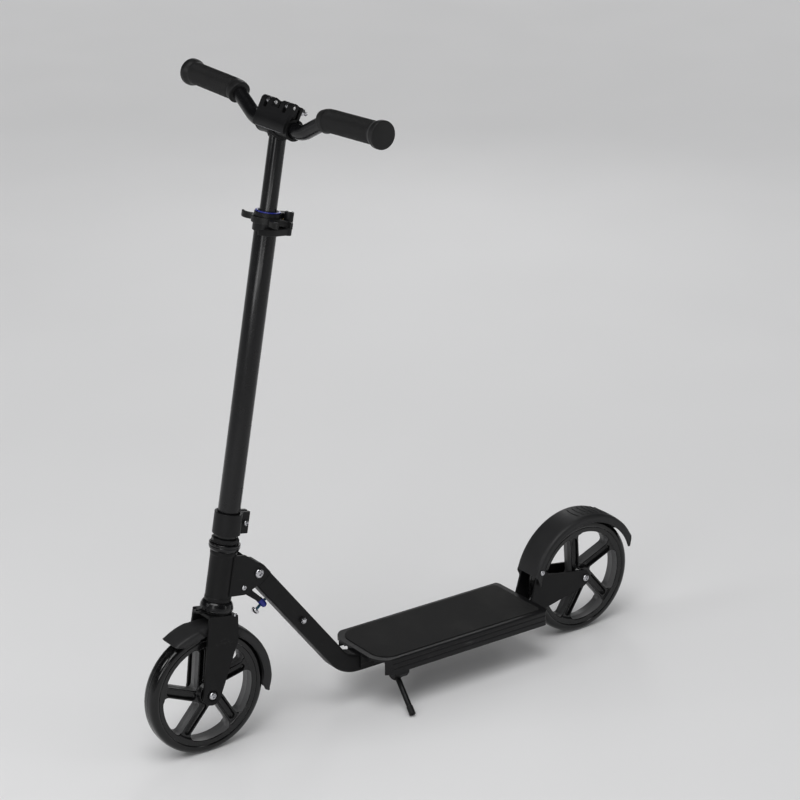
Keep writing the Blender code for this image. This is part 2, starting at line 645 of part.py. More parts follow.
def make_front_fender(steering):
    """The front mudguard, waisted where it passes between the fork blades, with its boss under the crown."""
    def half_width(angle):
        away = min(max(abs(angle - 88) - 20, 0) / 14, 1.0)
        return 0.0205 + 0.0025 * (3 * away ** 2 - 2 * away ** 3)

    centre = (-AXLE_LEAD, 0, 0)
    guard = mudguard("front_fender", steering, centre, FRONT_FENDER_R, -3, 132, half_width, 8, 22)
    top = CROWN_TOP - 0.006 - GAP
    return join(guard, tube("fender_boss", 0.009, 0, FRONT_FENDER_R - 0.0018, top, None, steering, seg=16))


def make_stem(steering):
    """Outer stem tube, the clamp at its foot, the collar at its head, the bush and the grip clips."""
    nut_top = STEM_FOOT - GAP
    nut("headset_nut", steering, STEERER_R + GAP, 0.0215, 0.2383, nut_top, axis="Z", slot="black_anodised", sides=8)
    tube("stem_tube", STEM_R, 0.0147, STEM_FOOT, STEM_TOP - 0.003, "black_gloss_paint", steering, seg=28)
    stem_in = STEM_R + GAP
    split_collar(steering, "stem_clamp", stem_in, 0.0215, 0.2520, 0.2860)
    bolt("stem_clamp_bolt", steering, 0.0025, 0.0115, -0.0088, 0.0045, 0.0045, centre=(0.0268, 0, 0.2690), seg=12)
    split_collar(steering, "qr_collar", stem_in, COLLAR_R, STEM_TOP - COLLAR_LOW, STEM_TOP)
    bore, flange = T_TUBE_R + GAP, STEM_TOP + GAP
    profile = [(bore, STEM_TOP - 0.035), (0.0144, STEM_TOP - 0.035), (0.0144, STEM_TOP - 0.0027)]
    profile += [(0.0169, STEM_TOP - 0.0027), (0.0169, flange), (0.0192, flange), (0.0192, flange + 0.002)]
    profile += [(bore, flange + 0.002)]
    lathe("stem_bush", profile, "blue_plastic", steering)
    make_clips(steering)


def split_collar(steering, name, inner, outer, low, high):
    """A ring split at the rear, with an ear on each side of the slot for the bolt."""
    collar = tube(name, outer, inner, low, high, "black_anodised", steering)
    ears = rounded(box_outline(0.017, 0.0345, -0.0085, 0.0085), [0, 0.005, 0.005, 0], steps=3)
    ears = prism(name + "_ears", ears, low + 0.001, high - 0.001, None, steering, axis="Z")
    join(collar, ears)
    bore = tube(name + "_bore", inner, 0, low - 0.01, high + 0.01, None, steering)
    slot = prism(name + "_slot", box_outline(0.010, 0.040, -0.0013, 0.0013), low - 0.01, high + 0.01, None,
                 steering, axis="Z")
    cut(collar, bore, slot)
    return drill(collar, 0.0032, 0.02, steering, centre=(0.0268, 0, (low + high) / 2), seg=12)


def make_clips(steering):
    """A band round the collar with a C on each side that holds a handle when it is taken off the bar clamp."""
    low, high = STEM_TOP - 0.0165, STEM_TOP - 0.0065
    inner, outer = COLLAR_R + GAP, COLLAR_R + 0.003
    band = arc((0, 0), outer, 52, 308, 20) + arc((0, 0), inner, 308, 52, 20)
    band = prism("grip_clips", band, low, high, "black_plastic", steering, axis="Z")
    for way in (-1, 1):
        middle = (0, way * 0.0365)
        outline = arc(middle, 0.0175, way * 90 + 48, way * 90 + 312, 12)
        outline += arc(middle, 0.0130, way * 90 + 312, way * 90 + 48, 12)
        join(band, prism(f"clip_{way}", outline, low + 0.0001, high - 0.0001, None, steering, axis="Z"))
    bore = tube("clip_bore", inner, 0, low - 0.01, high + 0.01, None, steering)
    return cut(band, bore)


QR_PIVOT = (0.0268, -0.0159)
QR_Z = STEM_TOP - COLLAR_LOW / 2


def make_quick_release(steering, qr_pivot):
    """The stem's quick release: its bolt stays in the collar, and its cam lever turns on an upright pin."""
    middle = QR_Z
    x, y = QR_PIVOT
    far = 0.0085 + GAP
    profile = [(0, y + 0.002), (0.0028, y + 0.002), (0.0028, far), (0.0055, far), (0.0055, far + 0.0045)]
    profile += [(0, far + 0.0045)]
    rod = lathe("qr_bolt", profile, "zinc_steel", steering, axis="Y", centre=(x, 0, middle), seg=12)
    join(rod, tube("qr_eye", 0.0046, 0, -0.0035, 0.0035, None, steering, centre=(x, y, middle), seg=12))
    drill(rod, 0.0023 + GAP, 0.01, steering, axis="Z", centre=(x, y, middle), seg=10)
    low, high = -0.0170, 0.0180
    lever = tube("qr_lever", 0.0070, 0, low, high, "black_anodised", qr_pivot, seg=20)
    level = -0.0112
    path = [(0, -0.0035, level), (-0.014, -0.0080, level), (-0.036, -0.0150, level), (-0.058, -0.0110, level)]
    path = rounded(path, 0.030, steps=3, closed=False)
    section = rounded(box_outline(-0.0055, 0.0055, -0.0019, 0.0019), 0.0017, steps=2)
    join(lever, sweep("qr_arm", path, section, None, qr_pivot, normal=(0, 0, 1)))
    slot = box_outline(-0.0052, 0.0100, -0.0052, 0.0100)
    cut(lever, prism("qr_slot", slot, -0.0038, 0.0038, None, qr_pivot, axis="Z"))
    drill(lever, 0.0023 + GAP, 0.02, qr_pivot, axis="Z", seg=12)
    tube("qr_pin", 0.0023, 0, low - 0.0003, high + 0.0003, "zinc_steel", qr_pivot, seg=12)


# ---------------------------------------------------------------- handlebar
def make_t_bar(stem_slide, clamp):
    """The inner tube with the bar clamp welded across its head: a split sleeve with two pairs of ears."""
    t_bar = tube("t_bar", T_TUBE_R, 0.0107, T_TUBE_FOOT, BAR_Z - 0.013, "black_gloss_paint", stem_slide, seg=28)
    sleeve = tube("bar_sleeve", CLAMP_R, 0, -CLAMP_HALF, CLAMP_HALF, None, clamp, axis="Y", seg=28)
    join(t_bar, sleeve)
    for way in (-1, 1):
        y = way * EAR_SLOT_Y
        ear = rounded(box_outline(-0.0065, 0.0065, 0.006, 0.0345), [0, 0, 0.003, 0.003], steps=2)
        join(t_bar, prism(f"bar_ears_{way}", ear, y - 0.008, y + 0.008, None, clamp))
    bore = tube("bar_bore", BAR_R + GAP, 0, -0.05, 0.05, None, clamp, axis="Y")
    slot = prism("bar_slot", box_outline(-0.0015, 0.0015, 0.005, 0.040), -0.05, 0.05, None, clamp)
    cut(t_bar, bore, slot)
    x, z = LEVER_PIVOT
    for side, way in (("left", -1), ("right", 1)):
        y = way * EAR_SLOT_Y
        drill(t_bar, 0.0032, 0.02, clamp, axis="X", centre=(0.005, y, z), seg=12)
        rod = tube("clamp_eyebolt_" + side, 0.0028, 0, 0.004, 0.0335, "zinc_steel", clamp,
                   axis="X", centre=(x, y, z), seg=12)
        join(rod, tube("eye_" + side, 0.0056, 0, -0.0035, 0.0035, None, clamp, axis="Y", centre=(x, y, z), seg=14))
        drill(rod, 0.0028 + GAP, 0.01, clamp, centre=(x, y, z), seg=12)
        nut("clamp_nut_" + side, clamp, 0.0028 + GAP, 0.0058, 0.0068, 0.0125, axis="X", centre=(0, y, z))


def make_clamp_lever(lever_pivot):
    """The wide flip lever: two forks on cross pins above, and a plate that hugs the front of the clamp."""
    px, pz = LEVER_PIVOT
    inner, outer = CLAMP_R + 0.0007, CLAMP_R + 0.0042
    eye_r = 0.0064
    hug = [(x - px, z - pz) for x, z in arc((0, 0), inner, 214, 168, 5)]
    shell = [(x - px, z - pz) for x, z in arc((0, 0), outer, 168, 214, 5)]
    outline = hug + [(0.0022, -0.0125)] + arc((0, 0), eye_r, -35, 180, 8) + shell
    lever = prism("clamp_lever", outline, -CLAMP_HALF, CLAMP_HALF, "black_anodised", lever_pivot)
    tall = 0.02
    middle_gap = EAR_SLOT_Y - 0.0135
    cut(lever, prism("lever_middle", box_outline(-middle_gap, middle_gap, -0.008, tall), -0.03, 0.03, None,
                     lever_pivot, axis="X"))
    for side, way in (("left", -1), ("right", 1)):
        y = way * EAR_SLOT_Y
        fork = rounded(box_outline(y - 0.0042, y + 0.0042, -0.0115, tall), [0.002, 0.002, 0, 0], steps=2)
        cut(lever, prism("lever_slot_" + side, fork, -0.03, 0.03, None, lever_pivot, axis="X"))
    drill(lever, 0.0028 + GAP, 0.05, lever_pivot, seg=12)
    for side, way in (("left", -1), ("right", 1)):
        low, high = sorted((way * 0.0098, way * 0.0372))
        tube("clamp_pin_" + side, 0.0028, 0, low, high, "zinc_steel", lever_pivot, axis="Y", seg=12)


def handle_path(way, start, end, steps):
    """The bar's centre line in the steering frame, from one distance to another along Y."""
    points = [(0.0005, 0), (0.062, 0), (0.118, 0.030), (GRIP_END, 0.0345)]
    flat = rounded(points, 0.048, steps=steps, closed=False)
    kept = [p for p in flat if start + GAP < p.x < end - GAP]
    ends = [point_at(flat, start)] + kept + [point_at(flat, end)]
    return [Vector((0, way * p.x, p.y)) for p in ends]


def point_at(path, distance):
    """The point of a path whose first coordinate is this."""
    for a, b in zip(path, path[1:]):
        if distance <= b.x:
            return a.lerp(b, (distance - a.x) / (b.x - a.x))
    return path[-1]


def resample(path, step):
    """The path with points no further apart than step, so that a section can change along it."""
    made = [path[0]]
    for a, b in zip(path, path[1:]):
        count = max(1, math.ceil((b - a).length / step))
        made += [a.lerp(b, k / count) for k in range(1, count + 1)]
    return made


def make_handle(side, way, handle):
    """One half of the bar with its grip. It pulls out of the clamp sideways."""
    normal = (1, 0, 0)
    path = handle_path(way, 0.0005, GRIP_END - 0.006, 4)
    sweep("bar_" + side, path, circle(BAR_R, 16), "black_gloss_paint", handle, normal=normal,
          inner=circle(BAR_R - 0.0018, 16))
    grip_path = handle_path(way, 0.112, GRIP_END - 0.0055, 4)
    grip_r = 0.0168
    length = sum((b - a).length for a, b in zip(grip_path, grip_path[1:]))
    fine = resample(grip_path, 0.0135)
    scale = []
    run = 0.0
    for i, point in enumerate(fine):
        run += (point - fine[i - 1]).length if i else 0.0
        left = length - run
        scale.append(1.03 if run < 0.012 else 1.0 + 0.22 * max(0.0, 1 - left / 0.020))
    grip = sweep("grip_" + side, fine, circle(grip_r, 16), "grip_rubber", handle, normal=normal, scale=scale,
                 inner=circle(BAR_R + GAP, 16))
    end_cap = [(0, 0), (grip_r * 1.22, 0), (grip_r * 1.22, 0.002), (grip_r * 1.05, 0.0055), (0, 0.0055)]
    start = fine[-1]
    out = (fine[-1] - fine[-2]).normalized()
    cap = lathe("grip_cap_" + side, end_cap, None, handle, seg=16)
    cap.matrix_local = Matrix.Translation(start - out * 0.0004) @ out.to_track_quat("Z", "Y").to_matrix().to_4x4()
    return join(grip, cap)


# ---------------------------------------------------------------- assembly
def build():
    for obj in list(bpy.data.objects):
        bpy.data.objects.remove(obj)

    axis_x = AXLE_LEAD * math.cos(HEAD_LEAN) - WHEELBASE / 2
    axis_z = WHEEL_R - AXLE_LEAD * math.sin(HEAD_LEAN)
    steering = frame_at("steering_axis", (axis_x, 0, axis_z), turn=HEAD_LEAN)
    front_axle = frame_at("front_axle", (-AXLE_LEAD, 0, 0), steering)
    rear_axle = frame_at("rear_axle", (WHEELBASE / 2, 0, WHEEL_R))
    neck = frame_at("fold_pivot", (ahead(FOLD_FROM_FRONT_AXLE), 0, FOLD_HEIGHT), turn=NECK_SLOPE)
    latch_pivot = frame_at("latch_pivot", (LATCH[0], 0, LATCH[1]), neck)
    pivot = fender_pivot_at()
    fender_pivot = frame_at("fender_pivot", (pivot[0], 0, pivot[1]), rear_axle)
    stem_slide = frame_at("stem_slide", (0, 0, 0), steering)
    clamp = frame_at("bar_clamp", (0, 0, BAR_Z), stem_slide, turn=CLAMP_LEAN)
    lever_pivot = frame_at("lever_pivot", (LEVER_PIVOT[0], 0, LEVER_PIVOT[1]), clamp)
    qr_pivot = frame_at("qr_pivot", (*QR_PIVOT, QR_Z), steering)
    down, axle = kick_axes()
    kick_pivot = frame_at("kick_pivot", (ahead(KICK_PIVOT[0]), KICK_PIVOT[1], KICK_PIVOT[2]))
    axes = Matrix((Vector((1, 0, 0)), -down, axle)).transposed()
    kick_pivot.rotation_euler = axes.to_euler()
    bpy.context.view_layer.update()

    make_deck()
    make_neck(neck)
    make_rear_end(rear_axle)
    make_wheel("rear", rear_axle, CHANNEL_HALF + CHANNEL_RIB + GAP)
    make_rear_fender(fender_pivot)
    make_kickstand(kick_pivot)
    make_head(steering, neck)
    make_latch(latch_pivot)
    make_fork(steering, front_axle)
    make_wheel("front", front_axle, BLADE_IN)
    make_stem(steering)
    make_quick_release(steering, qr_pivot)
    make_t_bar(stem_slide, clamp)
    make_clamp_lever(lever_pivot)
    for side, way in (("left", -1), ("right", 1)):
        handle = frame_at("handle_" + side, (0, 0, BAR_Z), stem_slide)
        make_handle(side, way, handle)


build()
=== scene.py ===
"""The finished look of the kick scooter: fine meshes, materials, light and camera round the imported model."""
import json
import random
from math import asin, atan2, ceil, cos, degrees, hypot, pi, radians, sin, sqrt, tan

import bmesh
import bpy
from mathutils import Matrix, Vector


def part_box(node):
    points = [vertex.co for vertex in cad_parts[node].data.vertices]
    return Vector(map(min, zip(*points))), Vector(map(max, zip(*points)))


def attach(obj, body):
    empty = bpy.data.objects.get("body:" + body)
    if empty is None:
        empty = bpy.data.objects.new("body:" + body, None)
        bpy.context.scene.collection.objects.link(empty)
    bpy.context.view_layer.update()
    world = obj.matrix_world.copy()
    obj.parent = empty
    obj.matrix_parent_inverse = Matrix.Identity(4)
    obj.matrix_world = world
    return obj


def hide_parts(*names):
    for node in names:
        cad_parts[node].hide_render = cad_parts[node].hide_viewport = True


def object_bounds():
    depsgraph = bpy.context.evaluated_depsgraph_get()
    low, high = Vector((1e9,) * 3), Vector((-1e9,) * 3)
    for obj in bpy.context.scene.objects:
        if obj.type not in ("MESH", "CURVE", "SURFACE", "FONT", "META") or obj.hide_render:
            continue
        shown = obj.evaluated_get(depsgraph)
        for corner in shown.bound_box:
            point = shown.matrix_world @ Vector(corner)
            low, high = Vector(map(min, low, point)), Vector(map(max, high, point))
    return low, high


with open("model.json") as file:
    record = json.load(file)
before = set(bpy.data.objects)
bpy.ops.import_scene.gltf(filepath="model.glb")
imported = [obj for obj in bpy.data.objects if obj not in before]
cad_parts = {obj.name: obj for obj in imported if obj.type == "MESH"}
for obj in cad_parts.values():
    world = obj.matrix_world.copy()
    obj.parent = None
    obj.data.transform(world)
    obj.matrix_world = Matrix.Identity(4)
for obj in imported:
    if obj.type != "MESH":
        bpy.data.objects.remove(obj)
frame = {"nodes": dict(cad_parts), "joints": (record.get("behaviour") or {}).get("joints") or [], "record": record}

CAD_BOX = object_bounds()
SIDES = (("left", -1), ("right", 1))
GAP = 0.0003

# ---------------------------------------------------------------- places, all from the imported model
JOINTS = {joint["name"]: joint for joint in frame["joints"]}
BODY_OF = {node: body for body, nodes in frame["record"]["behaviour"]["bodies"].items() for node in nodes}


def place(point, lean=0.0):
    """A frame at a point, with +Z leaned towards the rear."""
    return Matrix.Translation(point) @ Matrix.Rotation(lean, 4, "Y")


def joint_at(name):
    return Vector(JOINTS[name]["pos_m"])


def local_box(node, where):
    """Lowest and highest corner of a CAD node in a leaning frame."""
    back = where.inverted()
    points = [back @ v.co for v in frame["nodes"][node].data.vertices]
    return Vector(map(min, zip(*points))), Vector(map(max, zip(*points)))


STEM_AXIS = Vector(JOINTS["steering"]["axis"])
LEAN = atan2(STEM_AXIS.x, STEM_AXIS.z)
CLAMP_LEAN = LEAN + radians(18)
_axle = joint_at("front_wheel_spin")
_foot = joint_at("steering")
STEER = place(_foot + STEM_AXIS * (_axle - _foot).dot(STEM_AXIS), LEAN)
FRONT_AXLE = place(_axle, LEAN)
REAR_AXLE = place(joint_at("rear_wheel_spin"))
AXLE_LEAD = -(STEER.inverted() @ _axle).x
_bolt_low, _bolt_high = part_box("neck_bolt")
_down_neck = (_bolt_low + _bolt_high) / 2 - joint_at("fold")
NECK = place(joint_at("fold"), atan2(-_down_neck.z, _down_neck.x))
LATCH = place(joint_at("latch_swing"), atan2(-_down_neck.z, _down_neck.x))
LEVER = place(joint_at("flip_lever_swing"), CLAMP_LEAN)
LEVER_FROM_BAR = Vector((-0.0133, 0, 0.029))
BAR_CENTRE = LEVER @ -LEVER_FROM_BAR
CLAMP = place(BAR_CENTRE, CLAMP_LEAN)
BAR = place(BAR_CENTRE, LEAN)
QUICK = place(joint_at("quick_release_swing"), LEAN)
BRAKE = place(joint_at("brake_press"))
_pin = Vector(JOINTS["kickstand_swing"]["axis"])
_kick_axes = Matrix((Vector((1, 0, 0)), _pin.cross(Vector((1, 0, 0))), _pin)).transposed()
KICK = Matrix.Translation(joint_at("kickstand_swing")) @ _kick_axes.to_4x4()
WORLD = Matrix.Identity(4)

FINE, ROUND, SMALL = 128, 72, 40  # how many sides a turned piece has


# ---------------------------------------------------------------- outlines
def arc(centre, radius, start, end, steps):
    """Points on a circle, from start to end in degrees."""
    angles = [radians(start + (end - start) * i / steps) for i in range(steps + 1)]
    return [(centre[0] + radius * cos(a), centre[1] + radius * sin(a)) for a in angles]


def circle(radius, seg, centre=(0, 0)):
    return arc(centre, radius, 0, 360 - 360 / seg, seg - 1)


def box(x0, x1, y0, y1):
    return [(x0, y0), (x1, y0), (x1, y1), (x0, y1)]


def rounded(points, radius, steps=4, closed=True):
    """The polygon or path with its corners turned into arcs, each as large as its edges allow."""
    points = [Vector(p) for p in points]
    count = len(points)
    made = []
    for i, corner in enumerate(points):
        size = radius[i] if isinstance(radius, (list, tuple)) else radius
        back = points[i - 1] - corner
        ahead = points[(i + 1) % count] - corner
        at_end = not closed and i in (0, count - 1)
        if size <= 0 or at_end or back.length < 1e-7 or ahead.length < 1e-7:
            made.append(corner)
            continue
        half = back.angle(ahead) / 2
        if half > radians(88) or half < radians(2):
            made.append(corner)
            continue
        reach = min(size / tan(half), 0.48 * back.length, 0.48 * ahead.length)
        size = reach * tan(half)
        back.normalize()
        ahead.normalize()
        middle = corner + (back + ahead).normalized() * (size / sin(half))
        first = corner + back * reach - middle
        last = corner + ahead * reach - middle
        turn = pi - 2 * half
        for k in range(steps + 1):
            low = sin((1 - k / steps) * turn) / sin(turn)
            high = sin(k / steps * turn) / sin(turn)
            made.append(middle + first * low + last * high)
    return made


def sided(profile, way):
    """A profile with its heights on one side: way is 1 or -1."""
    return [(radius, way * height) for radius, height in profile]


def mirrored(outline):
    """An outline in the opposite order, with its second coordinates turned over."""
    return [(p[0], -p[1]) for p in reversed(outline)]


def turned(profile, radius=0.0006, steps=3):
    """A profile for lathe with soft corners, except on the axis."""
    return rounded(profile, [0 if p[0] < 1e-6 else radius for p in profile], steps)


def smooth_path(points, steps):
    """A smooth curve through the points (Catmull-Rom)."""
    points = [Vector(p) for p in points]
    made = []
    for i in range(len(points) - 1):
        a = points[max(i - 1, 0)]
        b, c = points[i], points[i + 1]
        d = points[min(i + 2, len(points) - 1)]
        for k in range(steps):
            t = k / steps
            made.append(0.5 * (2 * b + (c - a) * t + (2 * a - 5 * b + 4 * c - d) * t * t
                               + (3 * b - a - 3 * c + d) * t * t * t))
    return made + [points[-1]]


# ---------------------------------------------------------------- meshes
def along(axis, a, b, h):
    return {"X": (h, a, b), "Y": (a, h, b), "Z": (a, b, h)}[axis]


def link(name, data):
    """A new object in the scene."""
    made = bpy.data.objects.new(name, data)
    bpy.context.scene.collection.objects.link(made)
    return made


def mesh_object(name, verts, faces):
    mesh = bpy.data.meshes.new(name)
    mesh.from_pydata([tuple(v) for v in verts], [], faces)
    made = bmesh.new()
    made.from_mesh(mesh)
    bmesh.ops.remove_doubles(made, verts=made.verts, dist=1e-7)
    bmesh.ops.recalc_face_normals(made, faces=made.faces)
    made.to_mesh(mesh)
    made.free()
    return link(name, mesh)


def lathe(name, profile, axis="Z", centre=(0, 0, 0), seg=FINE):
    """Turns a closed profile of (radius, height) about an axis through centre."""
    verts = []
    rings = []
    centre = Vector(centre)
    for radius, height in profile:
        if radius < 1e-6:
            rings.append([len(verts)] * seg)
            verts.append(centre + Vector(along(axis, 0, 0, height)))
            continue
        rings.append(range(len(verts), len(verts) + seg))
        verts += [centre + Vector(along(axis, a, b, height)) for a, b in circle(radius, seg)]
    faces = []
    for i, ring in enumerate(rings):
        other = rings[(i + 1) % len(rings)]
        for k in range(seg):
            corners = [ring[k], ring[(k + 1) % seg], other[(k + 1) % seg], other[k]]
            face = list(dict.fromkeys(corners))
            if len(face) > 2:
                faces.append(face)
    return mesh_object(name, verts, faces)


def tube(name, outer, inner, low, high, soft=0.0005, **where):
    return lathe(name, turned([(inner, low), (outer, low), (outer, high), (inner, high)], soft), **where)


def bands(count, rings, start=0, closed=False):
    """The faces between rings of points that follow each other, with count points each."""
    faces = []
    for i in range(rings if closed else rings - 1):
        low, high = start + i * count, start + (i + 1) % rings * count
        for k in range(count):
            m = (k + 1) % count
            faces.append([low + k, low + m, high + m, high + k])
    return faces


def skin(name, sections):
    """A solid through rings of points with the same number of points."""
    count = len(sections[0])
    verts = [p for ring in sections for p in ring]
    last = (len(sections) - 1) * count
    faces = [list(range(count)), list(range(last, last + count))]
    return mesh_object(name, verts, faces + bands(count, len(sections)))


def loft(name, sections, axis="Y"):
    """A solid through flat outlines with the same number of points, given as (outline, height)."""
    return skin(name, [[along(axis, p[0], p[1], height) for p in outline] for outline, height in sections])


def prism(name, outline, low, high, axis="Y"):
    return loft(name, [(outline, low), (outline, high)], axis)


def sweep(name, path, section, normal=(0, 1, 0), scale=None, inner=None):
    """Carries a closed section along a flat path: its first coordinate is along normal."""
    path = [Vector(p) for p in path]
    normal = Vector(normal)
    verts = []
    for number, shape in enumerate([section] + ([inner] if inner else [])):
        for i, point in enumerate(path):
            before = (point - path[max(i - 1, 0)]).normalized()
            after = (path[min(i + 1, len(path) - 1)] - point).normalized()
            side = (before + after).normalized().cross(normal)
            size = scale[i] if scale and number == 0 else 1.0
            verts += [point + normal * (a * size) + side * (b * size) for a, b in shape]
    count, length = len(section), len(path)
    hollow = length * count
    faces = bands(count, length) + (bands(count, length, hollow) if inner else [])
    for end in (0, (length - 1) * count):
        if not inner:
            faces.append(list(range(end, end + count)))
            continue
        for k in range(count):
            m = (k + 1) % count
            faces.append([end + k, end + m, hollow + end + m, hollow + end + k])
    return mesh_object(name, verts, faces)


def cord(name, path, radius, seg=12, closed=False):
    """A round bead or wire along any path. radius is a number or a function of the point's number."""
    path = [Vector(p) for p in path]
    count = len(path)
    side = None
    verts = []
    for i, point in enumerate(path):
        ahead = path[(i + 1) % count if closed else min(i + 1, count - 1)]
        behind = path[i - 1 if closed or i else 0]
        way = (ahead - behind).normalized()
        if side is None:
            side = way.orthogonal()
        side = (side - way * side.dot(way)).normalized()
        other = way.cross(side)
        size = radius(i) if callable(radius) else radius
        verts += [point + side * a * size + other * b * size for a, b in circle(1.0, seg)]
    faces = bands(seg, count, closed=closed)
    if not closed:
        faces += [list(range(seg)), list(range((count - 1) * seg, count * seg))]
    return mesh_object(name, verts, faces)


def weld(name, path, radius, seed, closed=False, ripple=0.16):
    """A weld bead: overlapping ripples of slightly uneven size."""
    rng = random.Random(seed)
    sizes = [radius * (1 - ripple + ripple * abs(sin(i * pi / 4)) + rng.uniform(-0.05, 0.05))
             for i in range(len(path))]
    return cord(name, path, lambda i: sizes[i], seg=12, closed=closed)


def carve(obj, *tools, operation="DIFFERENCE"):
    """Applies exact booleans at once and removes the tools."""
    for tool in tools:
        modifier = obj.modifiers.new("carve", "BOOLEAN")
        modifier.operation = operation
        modifier.object = tool
        modifier.solver = "EXACT"
        bpy.context.view_layer.update()
        mesh = bpy.data.meshes.new_from_object(obj.evaluated_get(bpy.context.evaluated_depsgraph_get()))
        obj.modifiers.clear()
        obj.data = mesh
        bpy.data.objects.remove(tool)
    return obj


def drill(obj, radius, reach, axis="Y", centre=(0, 0, 0)):
    rod = lathe("drill", [(0, -reach), (radius, -reach), (radius, reach), (0, reach)], axis, centre, SMALL)
    return carve(obj, rod)


def soften(obj, width, segments=3, angle=30):
    """Rounds every edge sharper than an angle."""
    modifier = obj.modifiers.new("soften", "BEVEL")
    modifier.width = width
    modifier.segments = segments
    modifier.limit_method = "ANGLE"
    modifier.angle_limit = radians(angle)
    modifier.harden_normals = True
    return obj


def show(obj, look, where, *nodes, body=None, soft=0.0, segments=3, sharp=40):
    """Places a finished piece, gives it its material and body, and hides the CAD nodes it stands for."""
    mesh = obj.data
    mesh.shade_smooth()
    if soft:
        soften(obj, soft, segments)
    else:
        mesh.set_sharp_from_angle(angle=radians(sharp))
    mesh.materials.clear()
    mesh.materials.append(LOOKS[look][0])
    obj.matrix_world = where
    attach(obj, body or BODY_OF[nodes[0]])
    if nodes:
        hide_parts(*nodes)
    return obj


def show_turned(name, profile, look, where, *nodes, corner=0.0005, steps=3, axis="Z", centre=(0, 0, 0),
                seg=FINE, **how):
    """Shows a piece turned from a profile whose corners are softened."""
    return show(lathe(name, turned(profile, corner, steps), axis, centre, seg), look, where, *nodes, **how)


def keep(node, look, soft=0.0):
    """A CAD node that stays, with a better material and softer edges."""
    obj = frame["nodes"][node]
    obj.data.materials.clear()
    obj.data.materials.append(LOOKS[look][0])
    if soft:
        merge = obj.modifiers.new("weld", "WELD")
        merge.merge_threshold = 0.00001
        soften(obj, soft, 2)


# ---------------------------------------------------------------- materials
def grey(level, blue=None):
    """A grey, or one with a touch more blue."""
    return (level, level, level if blue is None else blue)


